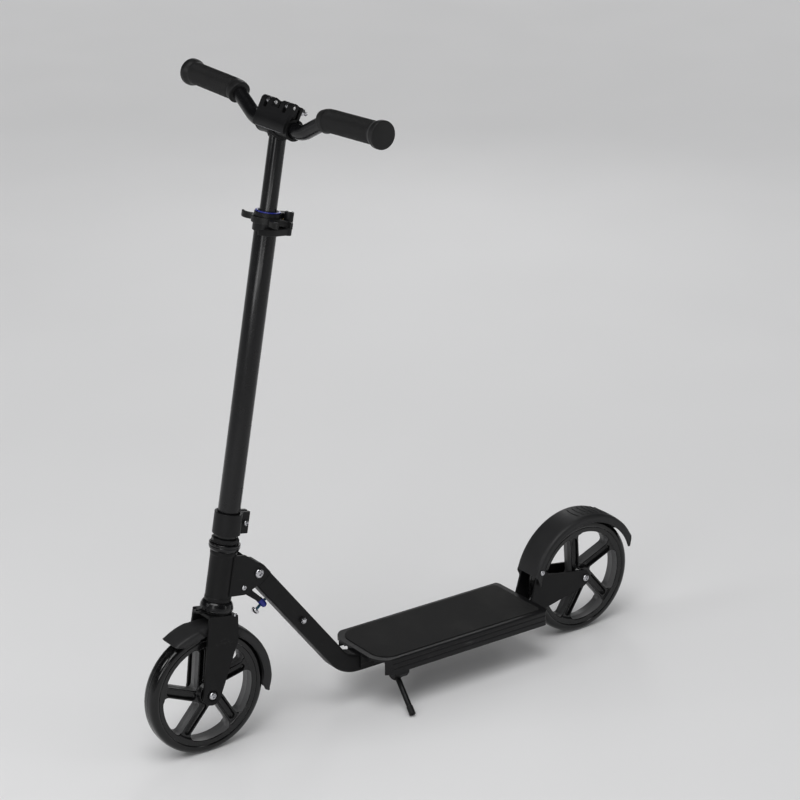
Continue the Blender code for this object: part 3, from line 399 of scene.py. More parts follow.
class Look:
    """A Principled material whose colour, roughness and bump come from noise in the piece's own frame."""

    def __init__(self, name, metallic=0.0, **fixed):
        self.material = bpy.data.materials.new(name)
        self.material.use_nodes = True
        self.tree = self.material.node_tree
        self.shader = self.tree.nodes["Principled BSDF"]
        self.shader.inputs["Metallic"].default_value = metallic
        for socket, value in fixed.items():
            self.shader.inputs[socket.replace("_", " ")].default_value = value
        self.place = self.add("ShaderNodeTexCoord").outputs["Object"]
        self.normal = None

    def add(self, kind, settings=None, **inputs):
        made = self.tree.nodes.new(kind)
        for key, value in (settings or {}).items():
            setattr(made, key, value)
        for key, value in inputs.items():
            self.join(value, made.inputs[key.replace("_", " ")])
        return made

    def join(self, value, socket):
        if isinstance(value, bpy.types.NodeSocket):
            self.tree.links.new(value, socket)
        else:
            socket.default_value = value

    def noise(self, scale, detail=3.0, rough=0.55, stretch=None):
        place_in = self.place
        if stretch:
            place_in = self.add("ShaderNodeMapping", Vector=self.place, Scale=stretch).outputs["Vector"]
        made = self.add("ShaderNodeTexNoise", Vector=place_in, Scale=scale, Detail=detail, Roughness=rough)
        return made.outputs["Fac"]

    def cells(self, scale, feature="F1"):
        made = self.add("ShaderNodeTexVoronoi", {"feature": feature}, Vector=self.place, Scale=scale)
        return made.outputs["Distance"]

    def span(self, value, low, high, to_low=0.0, to_high=1.0):
        """A value's low to high turned into to_low to to_high, and held there."""
        made = self.add("ShaderNodeMapRange", {"clamp": True}, Value=value, From_Min=low, From_Max=high,
                        To_Min=to_low, To_Max=to_high)
        return made.outputs["Result"]

    def maths(self, operation, a, b):
        made = self.add("ShaderNodeMath", {"operation": operation})
        self.join(a, made.inputs[0])
        self.join(b, made.inputs[1])
        return made.outputs[0]

    def times(self, a, b):
        return self.maths("MULTIPLY", a, b)

    def plus(self, value, extra, share):
        """A value with a share of another one added."""
        return self.maths("ADD", value, self.times(extra, share))

    def cloud(self, scale, detail, dark, light):
        """Two colours in soft clouds."""
        return self.blend(self.noise(scale, detail), dark, light)

    def uneven(self, scale, low, high):
        """A roughness that wanders between low and high."""
        return self.span(self.noise(scale, 4.0), 0.3, 0.7, low, high)

    def blend(self, amount, a, b):
        made = self.add("ShaderNodeMix", {"data_type": "RGBA"})
        self.join(amount, made.inputs["Factor"])
        for value, socket in ((a, made.inputs[6]), (b, made.inputs[7])):
            self.join(value if isinstance(value, bpy.types.NodeSocket) else (*value, 1), socket)
        return made.outputs[2]

    def part_of(self, axis):
        return self.add("ShaderNodeSeparateXYZ", Vector=self.place).outputs[axis]

    def from_axis(self, keep_axes):
        """Distance from an axis: the length of the place with only some of its parts kept."""
        flat = self.add("ShaderNodeVectorMath", {"operation": "MULTIPLY"})
        self.join(self.place, flat.inputs[0])
        flat.inputs[1].default_value = keep_axes
        length = self.add("ShaderNodeVectorMath", {"operation": "LENGTH"})
        self.join(flat.outputs["Vector"], length.inputs[0])
        return length.outputs["Value"]

    def bump(self, height, strength, distance):
        made = self.add("ShaderNodeBump", Height=height, Strength=strength, Distance=distance)
        if self.normal:
            self.join(self.normal, made.inputs["Normal"])
        self.normal = made.outputs["Normal"]

    def done(self, colour, roughness):
        self.join(colour, self.shader.inputs["Base Color"])
        self.join(roughness, self.shader.inputs["Roughness"])
        if self.normal:
            self.join(self.normal, self.shader.inputs["Normal"])
        return self.material

    def dust(self, colour, amount=0.5, tint=grey(0.20)):
        """Fine pale specks in loose drifts."""
        specks = self.span(self.cells(420.0), 0.10, 0.04)
        drifts = self.span(self.noise(22.0, 4.0), 0.52, 0.70, 0.0, amount)
        return self.blend(self.times(specks, drifts), colour, tint)

    def scratches(self, stretch, low=0.66, high=0.74):
        """Thin scattered lines that run along one way."""
        lines = self.span(self.noise(60.0, 2.0, 0.4, stretch), low, high)
        patches = self.span(self.noise(16.0, 2.0), 0.45, 0.62)
        return self.times(lines, patches)


def powder_coat():
    """Satin black powder coat: orange peel, fine grain, faint rubs."""
    look = Look("powder_coat", Specular_IOR_Level=0.27)
    colour = look.cloud(14.0, 5.0, grey(0.0040, 0.0043), grey(0.0085, 0.0090))
    colour = look.dust(colour, 0.35)
    rubs = look.scratches((1.0, 1.0, 14.0))
    colour = look.blend(look.times(rubs, 0.25), colour, grey(0.06))
    rough = look.uneven(45.0, 0.36, 0.47)
    rough = look.plus(rough, rubs, 0.15)
    look.bump(look.noise(900.0, 2.0), 0.30, 0.00012)
    look.bump(look.noise(260.0, 2.0), 0.20, 0.0003)
    return look.done(colour, rough)


def blade_coat_with_painted_bend_highlight():
    """The fork's flat satin coat, with lighter scuff-like marks in a level band round the blade's bend, 62 to 98
    mm up: partly scuffs, partly a painted highlight of the bend.
    """
    look = Look("blade_coat_with_painted_bend_highlight", Specular_IOR_Level=0.25)
    colour = look.cloud(18.0, 5.0, grey(0.0055, 0.0058), grey(0.0100, 0.0104))
    height = look.part_of("Z")
    # partly painted highlight: the lighter marks are kept to the height of the blade's bend, standing in for the
    # light there; their streaks are scuffs
    band = look.span(height, 0.062, 0.078)
    band = look.times(band, look.span(height, 0.098, 0.088))
    marks = look.span(look.noise(170.0, 3.0, 0.6, (1.0, 1.0, 2.2)), 0.52, 0.70)
    marks = look.times(marks, look.span(look.noise(38.0, 2.0), 0.50, 0.62))
    marks = look.times(marks, band)
    colour = look.blend(look.times(marks, 0.55), colour, grey(0.045))
    colour = look.dust(colour, 0.30)
    rough = look.uneven(60.0, 0.45, 0.56)
    rough = look.plus(rough, marks, 0.12)
    look.bump(look.noise(1100.0, 2.0), 0.35, 0.00012)
    look.bump(look.noise(300.0, 3.0), 0.15, 0.0003)
    return look.done(colour, rough)


def gloss_paint():
    """Glossy black enamel on tubes, with a clear coat and long soft waves."""
    look = Look("gloss_paint", Specular_IOR_Level=0.32, Coat_Weight=0.30, Coat_Roughness=0.12)
    colour = look.cloud(20.0, 4.0, grey(0.0030, 0.0035), grey(0.0060, 0.0070))
    colour = look.dust(colour, 0.25)
    rough = look.uneven(70.0, 0.20, 0.30)
    rough = look.plus(rough, look.scratches((9.0, 9.0, 0.6)), 0.08)
    look.bump(look.noise(420.0, 2.0), 0.06, 0.0002)
    return look.done(colour, rough)


def anodised():
    """Black anodised aluminium: fine drawn grain under a satin skin."""
    look = Look("anodised", metallic=0.2, Specular_IOR_Level=0.34)
    grain = look.noise(420.0, 3.0, 0.6, (1.0, 0.05, 1.0))
    colour = look.cloud(18.0, 4.0, grey(0.007, 0.0075), grey(0.014, 0.015))
    colour = look.dust(colour, 0.25)
    rough = look.span(grain, 0.3, 0.7, 0.34, 0.44)
    look.bump(grain, 0.10, 0.0002)
    return look.done(colour, rough)


def deck_metal():
    """The deck's extrusion: drawn lines along its length and shoe scuffs on its edges."""
    look = Look("deck_metal", metallic=0.2, Specular_IOR_Level=0.36)
    drawn = look.noise(500.0, 3.0, 0.6, (0.02, 1.0, 1.0))
    colour = look.cloud(10.0, 4.0, grey(0.007, 0.0075), grey(0.015, 0.016))
    scuffs = look.scratches((0.5, 6.0, 6.0), 0.62, 0.72)
    colour = look.blend(look.times(scuffs, 0.5), colour, grey(0.10))
    colour = look.dust(colour, 0.4)
    rough = look.span(drawn, 0.3, 0.7, 0.36, 0.48)
    look.bump(drawn, 0.12, 0.0002)
    return look.done(colour, rough)


def tyre_rubber():
    """Glossy black polyurethane, dulled and dusty where it meets the ground."""
    look = Look("tyre_rubber", Specular_IOR_Level=0.35, Coat_Weight=0.35, Coat_Roughness=0.05)
    radius = look.from_axis((1.0, 0.0, 1.0))
    tread = look.span(radius, 0.0978, 0.0996)
    worn = look.times(tread, look.span(look.noise(160.0, 3.0), 0.45, 0.80))
    colour = look.cloud(25.0, 4.0, grey(0.0022, 0.0024), grey(0.0045, 0.0048))
    colour = look.blend(look.times(worn, 0.5), colour, (0.024, 0.0235, 0.023))
    colour = look.dust(colour, 0.45)
    rough = look.uneven(50.0, 0.13, 0.22)
    rough = look.plus(rough, worn, 0.22)
    look.bump(look.noise(300.0, 3.0), 0.03, 0.0003)
    return look.done(colour, rough)


def rim_plastic():
    """Glossy moulded nylon with faint flow marks that run outward from the hub."""
    look = Look("rim_gloss", Specular_IOR_Level=0.40, Coat_Weight=0.25, Coat_Roughness=0.10)
    radius = look.from_axis((1.0, 0.0, 1.0))
    flow = look.noise(38.0, 3.0, 0.5, (1.0, 0.3, 1.0))
    colour = look.blend(flow, grey(0.0030, 0.0033), grey(0.0065, 0.0070))
    colour = look.blend(look.span(radius, 0.074, 0.082, 0.0, 0.4), colour, grey(0.0080, 0.0084))
    colour = look.dust(colour, 0.5)
    rough = look.uneven(80.0, 0.19, 0.30)
    look.bump(look.noise(240.0, 2.0), 0.06, 0.0003)
    return look.done(colour, rough)


def rim_wall_painted_reflection():
    """The window walls of the rims: rougher than the faces, with a grey base that paints the floor's pale
    reflection the walls show at a slant.
    """
    look = Look("rim_wall_painted_reflection", Specular_IOR_Level=0.6)
    drawn = look.noise(260.0, 3.0, 0.6, (1.0, 0.08, 1.0))
    # painted reflection: a grey base in place of the plastic's black, standing in for the floor's light seen on
    # the walls
    colour = look.cloud(60.0, 4.0, grey(0.085, 0.086), grey(0.115, 0.117))
    colour = look.dust(colour, 0.4)
    rough = look.span(drawn, 0.3, 0.7, 0.34, 0.46)
    look.bump(drawn, 0.12, 0.0002)
    return look.done(colour, rough)


def fender_plastic():
    """Satin moulded plastic with a fine leather-like grain, and a base lighter than its black that paints the
    satin sheen.
    """
    look = Look("fender_satin_painted_sheen", Specular_IOR_Level=0.34)
    # painted sheen: these greys are lighter than the black plastic, standing in for its satin reflection
    colour = look.cloud(12.0, 5.0, grey(0.017, 0.0176), grey(0.027, 0.028))
    colour = look.dust(colour, 0.4)
    grain = look.cells(1400.0)
    rough = look.uneven(50.0, 0.40, 0.50)
    look.bump(grain, 0.22, 0.00012)
    return look.done(colour, rough)


def black_plastic():
    """Moulded hooks and caps: satin, slightly waxy."""
    look = Look("hook_plastic", Specular_IOR_Level=0.36)
    colour = look.cloud(40.0, 4.0, grey(0.006), grey(0.012, 0.0125))
    colour = look.dust(colour, 0.35)
    rough = look.uneven(90.0, 0.32, 0.46)
    look.bump(look.noise(900.0, 3.0), 0.20, 0.00015)
    return look.done(colour, rough)


def grip_rubber():
    """Matt rubber with a bloom of dust in its grooves."""
    look = Look("grip_rubber", Specular_IOR_Level=0.38, Sheen_Weight=0.06, Sheen_Roughness=0.4)
    colour = look.cloud(30.0, 5.0, grey(0.006, 0.0062), grey(0.011, 0.0115))
    colour = look.dust(colour, 0.5)
    rough = look.uneven(70.0, 0.42, 0.54)
    look.bump(look.noise(1500.0, 3.0), 0.35, 0.00012)
    return look.done(colour, rough)


def grip_tape():
    """Black abrasive sheet: packed grit, pale specks on some grains as painted glints, and shoe dust along the
    middle.
    """
    look = Look("grip_tape", Specular_IOR_Level=0.5)
    grit = look.cells(1700.0)
    grains = look.noise(2600.0, 2.0, 0.7)
    colour = look.blend(look.span(grit, 0.1, 0.6), grey(0.030, 0.031), grey(0.008))
    # painted glint: pale specks in the base colour where the grit would catch the light
    painted_grit_glints = look.span(grains, 0.72, 0.78)
    colour = look.blend(look.times(painted_grit_glints, 0.6), colour, grey(0.16))
    dusty = look.span(look.noise(9.0, 5.0), 0.5, 0.75, 0.0, 0.35)
    colour = look.blend(dusty, colour, (0.05, 0.048, 0.045))
    rough = look.span(grains, 0.3, 0.75, 0.92, 0.55)
    look.bump(grit, 1.0, 0.0004)
    look.bump(grains, 0.7, 0.0003)
    return look.done(colour, rough)


def blue_plastic():
    """Deep blue moulded nylon."""
    look = Look("blue_nylon", Coat_Weight=0.25, Coat_Roughness=0.15)
    colour = look.cloud(60.0, 4.0, (0.006, 0.012, 0.150), (0.012, 0.024, 0.300))
    rough = look.uneven(120.0, 0.24, 0.36)
    look.bump(look.noise(700.0, 2.0), 0.15, 0.00015)
    return look.done(colour, rough)


def steel(name, bright, dark, low, high, grain=(1.0, 1.0, 1.0)):
    """Plated steel: turned or drawn grain, patches of duller plating."""
    look = Look(name, metallic=1.0)
    lines = look.noise(700.0, 3.0, 0.6, grain)
    patches = look.noise(130.0, 4.0)
    colour = look.blend(look.span(patches, 0.35, 0.70), bright, dark)
    rough = look.span(lines, 0.3, 0.7, low, high)
    rough = look.maths("ADD", rough, look.span(patches, 0.5, 0.8, 0.0, 0.12))
    look.bump(lines, 0.10, 0.0001)
    return look.done(colour, rough)


LOOKS = {  # material, the record's slot
    "paint": (powder_coat(), "black_paint"),
    # the fork blades: partly a painted highlight at the bend
    "blade": (blade_coat_with_painted_bend_highlight(), "black_paint"),
    "gloss": (gloss_paint(), "black_gloss_paint"),
    "anodised": (anodised(), "black_anodised"),
    "deck": (deck_metal(), "black_anodised"),
    "tyre": (tyre_rubber(), "tyre_pu"),
    "rim": (rim_plastic(), "rim_plastic"),
    # the rim's window walls: grey base as a painted reflection
    "rim_wall_painted_reflection": (rim_wall_painted_reflection(), "rim_plastic"),
    # the fender: lighter base as a painted sheen
    "fender": (fender_plastic(), "fender_plastic"),
    "plastic": (black_plastic(), "black_plastic"),
    "rubber": (grip_rubber(), "grip_rubber"),
    # the grip tape: pale specks as painted glints
    "tape": (grip_tape(), "grip_tape"),
    "blue": (blue_plastic(), "blue_plastic"),
    "zinc": (steel("zinc_plate", grey(0.66, 0.68), grey(0.46, 0.48), 0.20, 0.32), "zinc_steel"),
    "pin": (steel("pale_pin", grey(0.80), grey(0.62), 0.30, 0.42), "zinc_steel"),
    "brass": (steel("washer_brass", (0.62, 0.47, 0.28), (0.42, 0.30, 0.17), 0.24, 0.36), "zinc_steel"),
    "teal": (steel("blued_zinc", (0.10, 0.26, 0.34), (0.20, 0.32, 0.40), 0.18, 0.30), "zinc_steel"),
}


# ---------------------------------------------------------------- fasteners
def dome_bolt(name, radius, tip, under, head_r, head_h, axis="Y", centre=(0, 0, 0), thread=0.0, socket=0.0):
    """A dome-headed bolt from tip to the underside of its head, with thread rings and a hexagon socket."""
    way = 1 if under > tip else -1
    profile = [(0, tip), (radius - 0.0004, tip)]
    pitch = 0.0008
    for k in range(int(thread / pitch)):
        start = tip + way * (0.0003 + k * pitch)
        profile += [(radius - 0.0004, start), (radius, start + way * pitch * 0.35)]
        profile += [(radius, start + way * pitch * 0.65), (radius - 0.0004, start + way * pitch)]
    profile += [(radius, tip + way * (thread + 0.0008)), (radius, under), (head_r - 0.0002, under)]
    rise = 0.18 * head_h
    for k in range(13):
        a = radians(90 * k / 12)
        height = rise + (head_h - rise) * sin(a)
        profile.append((head_r * cos(a) ** 0.85 if k < 12 else 0.0, under + way * height))
    bolt = lathe(name, profile, axis, centre, ROUND)
    key = socket or head_r * 0.45
    top = under + way * head_h
    low, high = sorted((top - way * head_h * 0.6, top + way * 0.01))
    return carve(bolt, prism("socket", circle_at(axis, centre, key), low, high, axis))


def circle_at(axis, centre, radius, seg=6):
    """A circle or hexagon in the plane across an axis, round that axis's centre."""
    flat = {"X": (centre[1], centre[2]), "Y": (centre[0], centre[2]), "Z": (centre[0], centre[1])}[axis]
    return circle(radius, seg, flat)


def hex_nut(name, hole, corner_r, low, high, axis="Y", centre=(0, 0, 0), sides=6):
    """A nut with its corners turned off and a countersunk hole."""
    made = prism(name, circle_at(axis, centre, corner_r, sides), low, high, axis)
    flat_r, step = corner_r * 0.88, (high - low) * 0.12
    middle = Vector(centre)
    turn = [(0, low), (flat_r, low), (corner_r + 0.0004, low + step), (corner_r + 0.0004, high - step)]
    turn += [(flat_r, high), (0, high)]
    carve(made, lathe("turn", turn, axis, middle, ROUND), operation="INTERSECT")
    bore = [(0, low - 0.01), (hole + 0.011, low - 0.01), (hole, low + 0.0005), (hole, high - 0.0005)]
    bore += [(hole + 0.011, high + 0.01), (0, high + 0.01)]
    return carve(made, lathe("bore", bore, axis, middle, SMALL))


def show_bolt(node, where, *sizes, **more):
    show(dome_bolt(*sizes, **more), "zinc", where, node, sharp=35)


def show_nut(node, where, *sizes, **more):
    show(hex_nut(*sizes, **more), "zinc", where, node, soft=0.0002, segments=2)


# ---------------------------------------------------------------- wheels
SPOKES = 5
SPOKE_TURN = 22.5
SPOKE_OFFSET = 0.010
SPOKE_HALF = 0.0085
RIM_IN = 0.0785
DISC_HALF = 0.0105
GROOVE_HALF = 0.0052
RIM_FACE = [(0.0745, DISC_HALF), (0.0780, 0.0134), (0.0867, 0.0140)]  # radius and half width, out to the tyre


def window_outline(first, grow, steps=12):
    """The opening between two spokes, made larger by grow."""
    corner_r, hub_corner_r = 0.0085 + grow, 0.005 + grow
    edge_half = SPOKE_HALF - grow
    sides = []
    for direction, side in ((first, 1), (first + 360 / SPOKES, -1)):
        a = radians(direction)
        way = Vector((cos(a), sin(a)))
        sides.append((way, Vector((-way.y, way.x)), SPOKE_OFFSET + side * edge_half, side))

    def corner_centre(way, across, edge, side):
        foot = across * (edge + side * corner_r)
        return foot + way * sqrt((RIM_IN + grow - corner_r) ** 2 - foot.length ** 2)

    (way_a, across_a, edge_a, side_a), (way_b, across_b, edge_b, side_b) = sides
    foot_a = across_a * (edge_a + side_a * hub_corner_r)
    foot_b = across_b * (edge_b + side_b * hub_corner_r)
    spread = way_a.x * way_b.y - way_a.y * way_b.x
    between = foot_b - foot_a
    inner = foot_a + way_a * ((between.x * way_b.y - between.y * way_b.x) / spread)
    outer_a, outer_b = corner_centre(*sides[0]), corner_centre(*sides[1])
    rim_a = degrees(atan2(outer_a.y, outer_a.x))
    rim_b = degrees(atan2(outer_b.y, outer_b.x))
    rim_b += 360 if rim_b < rim_a else 0
    first_side, last_side = first - 90, first + 360 / SPOKES + 90
    outline = arc(outer_a, corner_r, first_side, first_side + (rim_a - first_side) % 360, steps)
    outline += arc((0, 0), RIM_IN + grow, rim_a, rim_b, steps * 2)[1:-1]
    outline += arc(outer_b, corner_r, rim_b, rim_b + (last_side - rim_b) % 360, steps)
    outline += arc(inner, hub_corner_r, last_side, last_side + (first_side - last_side) % 360, steps)
    return outline


def groove_outline(direction, grow):
    """The long round-ended hollow in the face of a spoke."""
    near, far = 0.0225, 0.0665
    points = arc((far, SPOKE_OFFSET), GROOVE_HALF + grow, -90, 90, 14)
    points += arc((near, SPOKE_OFFSET), GROOVE_HALF + grow, 90, 270, 14)
    turn = Matrix.Rotation(radians(direction), 2)
    return [tuple(turn @ Vector(p)) for p in points]


def face_height(radius):
    """Half width of the rim at a distance from the axle."""
    if radius <= RIM_FACE[0][0]:
        return DISC_HALF
    for (r0, h0), (r1, h1) in zip(RIM_FACE, RIM_FACE[1:]):
        if radius <= r1:
            return h0 + (h1 - h0) * step_up(radius, r0, r1)
    return RIM_FACE[-1][1]


def window_cutter(direction):
    """Cuts a window right through, with a parting line half way and edges rounded along the rim's face."""
    edge, steps = 0.0014, 5
    levels = [(0.0, -0.0002, 0.0), (0.0, 0.0, 0.0004)]
    for k in range(steps + 1):
        a = radians(90 * k / steps)
        levels.append((1.0, 0.0003 + edge * (1 - cos(a)), -edge * (1 - sin(a))))
    levels.append((1.0, 0.0006 + edge, 0.006))
    levels = [(-on_face, grow, -rise) for on_face, grow, rise in reversed(levels[1:])] + levels
    outline_at = [(window_outline(direction, grow), on_face, rise) for on_face, grow, rise in levels]
    sections = [[(x, on_face * face_height(hypot(x, z)) + rise, z) for x, z in outline]
                for outline, on_face, rise in outline_at]
    return skin("window", sections)


def make_rim():
    """The rim's mesh, the same for both wheels."""
    hub_half = local_box("front_rim", FRONT_AXLE)[1].y
    half = [(0.006, 0.0104), (0.0113, 0.0104), (0.0113, hub_half), (0.0165, hub_half), (0.0195, DISC_HALF)]
    half += [(RIM_FACE[0][0] * k / 4 + 0.0195 * (1 - k / 4), DISC_HALF) for k in (1, 2, 3)]
    half = rounded(half, [0, 0.0002, 0.0004, 0.0010, 0.0020, 0, 0, 0], 4, closed=False)
    first, last = RIM_FACE[0][0], RIM_FACE[-1][0]
    steps = 24
    ring = [first + (last - first) * k / steps for k in range(steps + 1)]
    half += [(r, face_height(r)) for r in ring[:-1]] + [(last, RIM_FACE[-1][1] - 0.0003)]
    profile = [tuple(p) for p in half] + mirrored(half)
    rim = lathe("rim", profile, "Y", seg=160)
    deep, face = 0.0062, DISC_HALF
    floor = [(-deep, -0.0022), (0.0004 - deep, -0.0012), (0.0014 - deep, -0.0004), (-0.0010, 0.0),
             (-0.0004, 0.0002), (0.0, 0.0008), (0.004, 0.0008)]
    for k in range(SPOKES):
        direction = SPOKE_TURN + k * 360 / SPOKES
        carve(rim, window_cutter(direction))
        for way in (-1, 1):
            carve(rim, loft("groove", [(groove_outline(direction, g), way * (face + h)) for h, g in floor]))
    return rim


def make_tyre(end, where):
    high = local_box(end + "_tyre", where)[1]
    outer, half, inner, widest = high.z, high.y, 0.0870, 0.0900
    side = [(inner, 0.0132), (inner, 0.0136), (inner + 0.0003, 0.0140)]
    for k in range(25):
        a = radians(88 * k / 24)
        side.append((widest + (outer - widest) * sin(a) ** 0.78, half * cos(a) ** 0.62))
    side += [(outer, 0.0006), (outer + 0.00015, 0.0003)]
    tyre = lathe("tyre_" + end, side + mirrored(side), "Y", seg=192)
    show(tyre, "tyre", where, end + "_tyre", sharp=50)


def make_bearing(end, side, way, where):
    node = f"{end}_bearing_{side}"
    low, high = local_box(node, where)
    near, far = sorted((abs(low.y), abs(high.y)))
    bore, race = 0.0043, 0.0110
    face = 0.0170
    profile = [(bore, near), (race, near), (race, face), (0.0098, face), (0.0096, face - 0.0004)]
    profile += [(0.0076, face - 0.0004), (0.0074, face), (0.0072, face), (0.0072, far), (bore, far)]
    show_turned(f"bearing_{end}_{side}", sided(profile, way), "zinc", where, node, corner=0.0002, steps=2,
                axis="Y", seg=ROUND)


def paint_walls(rim):
    """Gives the window walls, which reach the rim's middle plane, their own rougher material, whose grey base is a
    painted reflection.
    """
    hub_r, seat_r, near_middle = 0.0200, 0.0840, 0.004
    mesh = rim.data
    # the walls' material: a grey base that is a painted reflection of the floor
    mesh.materials.append(LOOKS["rim_wall_painted_reflection"][0])
    for face in mesh.polygons:
        corners = [mesh.vertices[i].co for i in face.vertices]
        inside = hub_r < max(hypot(c.x, c.z) for c in corners) < seat_r
        if inside and abs(face.normal.y) < 0.5 and min(abs(c.y) for c in corners) < near_middle:
            face.material_index = 1


def make_wheels():
    rim = make_rim()
    for end, where in (("front", FRONT_AXLE), ("rear", REAR_AXLE)):
        copy = link("rim_" + end, rim.data.copy())
        show(copy, "rim", where, end + "_rim", sharp=32)
        paint_walls(copy)
        make_tyre(end, where)
        for side, way in SIDES:
            make_bearing(end, side, way, where)
    bpy.data.objects.remove(rim)


# ---------------------------------------------------------------- fork, front mudguard, strap ring
BLADE_IN = 0.022
BLADE_OUT = 0.026
BLADE_BEND = 0.084
DISH_R = 0.0118
CROWN_TOP = 0.128


def bend_blade(blade, way):
    """Leans a blade's upper part in towards the crown, with a soft bend."""
    soft, slope = 0.003, 0.022
    mesh = bmesh.new()
    mesh.from_mesh(blade.data)
    for level in (BLADE_BEND - soft, BLADE_BEND, BLADE_BEND + soft):
        everything = mesh.verts[:] + mesh.edges[:] + mesh.faces[:]
        bmesh.ops.bisect_plane(mesh, geom=everything, plane_co=(0, 0, level), plane_no=(0, 0, 1))
    for v in mesh.verts:
        above = v.co.z - BLADE_BEND
        lean = max(0.0, above) if abs(above) > soft + 0.0001 else (above + soft) ** 2 / (4 * soft)
        v.co.y -= way * slope * lean
    mesh.to_mesh(blade.data)
    mesh.free()


def make_blades():
    """The fork's two flat blades, each with a dished seat for the axle bolt or nut."""
    top, face = CROWN_TOP, BLADE_OUT
    outline = [(-0.0225, top), (-0.0222, 0.100), (-0.0158, 0.004)] + arc((0, 0), 0.0160, 180, 360, 28)[1:]
    outline += [(0.0340, 0.090), (0.0275, top)]
    radii = [0.0015, 0.020, 0.002] + [0] * 27 + [0.002, 0.030, 0.0015]
    outline = [(p[0] - AXLE_LEAD, p[1]) for p in rounded(outline, radii[: len(outline)], 5)]
    for side, way in SIDES:
        near, far = sorted((way * BLADE_IN, way * BLADE_OUT))
        blade = prism("fork_blade_" + side, outline, near, far)
        bend_blade(blade, way)
        dish = [(0, face + 0.01), (DISH_R + 0.0004, face + 0.01), (DISH_R + 0.0004, face)]
        dish += [(0.0092, face - 0.0006), (0.0088, face - 0.0022), (0.0068, face - 0.0022)]
        dish += [(0.0066, face - 0.0012), (0, face - 0.0012)]
        carve(blade, lathe("dish", sided(dish, way), "Y", (-AXLE_LEAD, 0, 0)))
        drill(blade, 0.0043, 0.04, centre=(-AXLE_LEAD, 0, 0))
        show(blade, "blade", STEER, "fork", soft=0.0006)


def make_crown():
    """The bridge over the wheel, the steerer, and the welds that join them to the blades."""
    top, steerer_top = CROWN_TOP, local_box("fork", STEER)[1].z
    front, rear = -0.0245, 0.0232
    bridge = rounded(box(front + 0.0005, 0.0235, -BLADE_IN - 0.0012, BLADE_IN + 0.0012), 0.003, 4)
    bridge = prism("fork_bridge", bridge, top - 0.006, top - 0.0002, "Z")
    show(bridge, "paint", STEER, "fork", soft=0.0008)
    show(tube("fork_steerer", 0.0143, 0.0115, top - 0.003, steerer_top), "gloss", STEER, "fork")
    for side, way in SIDES:
        for end, x in (("front", front), ("rear", rear)):
            path = [(x, way * (BLADE_IN + 0.0006), top - 0.0058 + 0.0056 * k / 24) for k in range(25)]
            bead = weld(f"crown_bead_{end}_{side}", path, 0.0013, 7 + way)
            show(bead, "paint", STEER, body=BODY_OF["fork"])
        path = [(-0.0235 + 0.0460 * k / 90, way * (BLADE_IN - 0.0006), top - 0.0063) for k in range(91)]
        show(weld("crown_bead_under_" + side, path, 0.0012, 3 + way), "paint", STEER, body=BODY_OF["fork"])
    lumps = ((0.0185, -0.0240, 0.0022), (0.0222, -0.0228, 0.0016), (0.0238, -0.0200, 0.0013))
    for number, (x, y, radius) in enumerate(lumps):
        spot = [(radius * cos(a) ** 0.8, radius * 0.8 * sin(a))
                for a in (radians(-60 + 150 * k / 10) for k in range(10))] + [(0, radius * 0.8)]
        spot = [(0, -radius * 0.7)] + [(max(r, 0.0), h) for r, h in spot]
        lump = lathe(f"crown_weld_{number}", spot, "Z", (x, y, top - 0.0006), SMALL)
        show(lump, "zinc" if number < 2 else "paint", STEER, body=BODY_OF["fork"])


def make_axle_hardware():
    face = BLADE_OUT - 0.0011
    show_bolt("front_axle_bolt", FRONT_AXLE, "axle_bolt_front", 0.004, BLADE_OUT + 0.0078, -face, 0.0064,
              0.0050, thread=0.008)
    show_nut("front_axle_nut", FRONT_AXLE, "axle_nut_front", 0.0042, 0.0072, face, BLADE_OUT + 0.0058)
    plate, tip = 0.0226, local_box("rear_axle_bolt", REAR_AXLE)[1].y
    show_bolt("rear_axle_bolt", REAR_AXLE, "axle_bolt_rear", 0.004, tip, -plate, 0.0062, 0.0045, thread=0.006)
    show_nut("rear_axle_nut", REAR_AXLE, "axle_nut_rear", 0.0042, 0.0072, plate, plate + 0.0055)


def make_eyelet():
    low, high = local_box("strap_eyelet", STEER)
    ring_r, lug_half, hole_x = high.y, 0.0085, -0.0315
    meet = degrees(asin(lug_half / ring_r))
    outline = arc((0, 0), ring_r, -180 + meet, 180 - meet, 96)
    outline += arc((hole_x, 0), lug_half, 90, 270, 32)
    plate = prism("strap_ring", outline, low.z, high.z, "Z")
    drill(plate, 0.0146, 0.01, "Z", (0, 0, low.z))
    drill(plate, 0.0042, 0.01, "Z", (hole_x, 0, low.z))
    show(plate, "paint", STEER, "strap_eyelet", soft=0.0008)


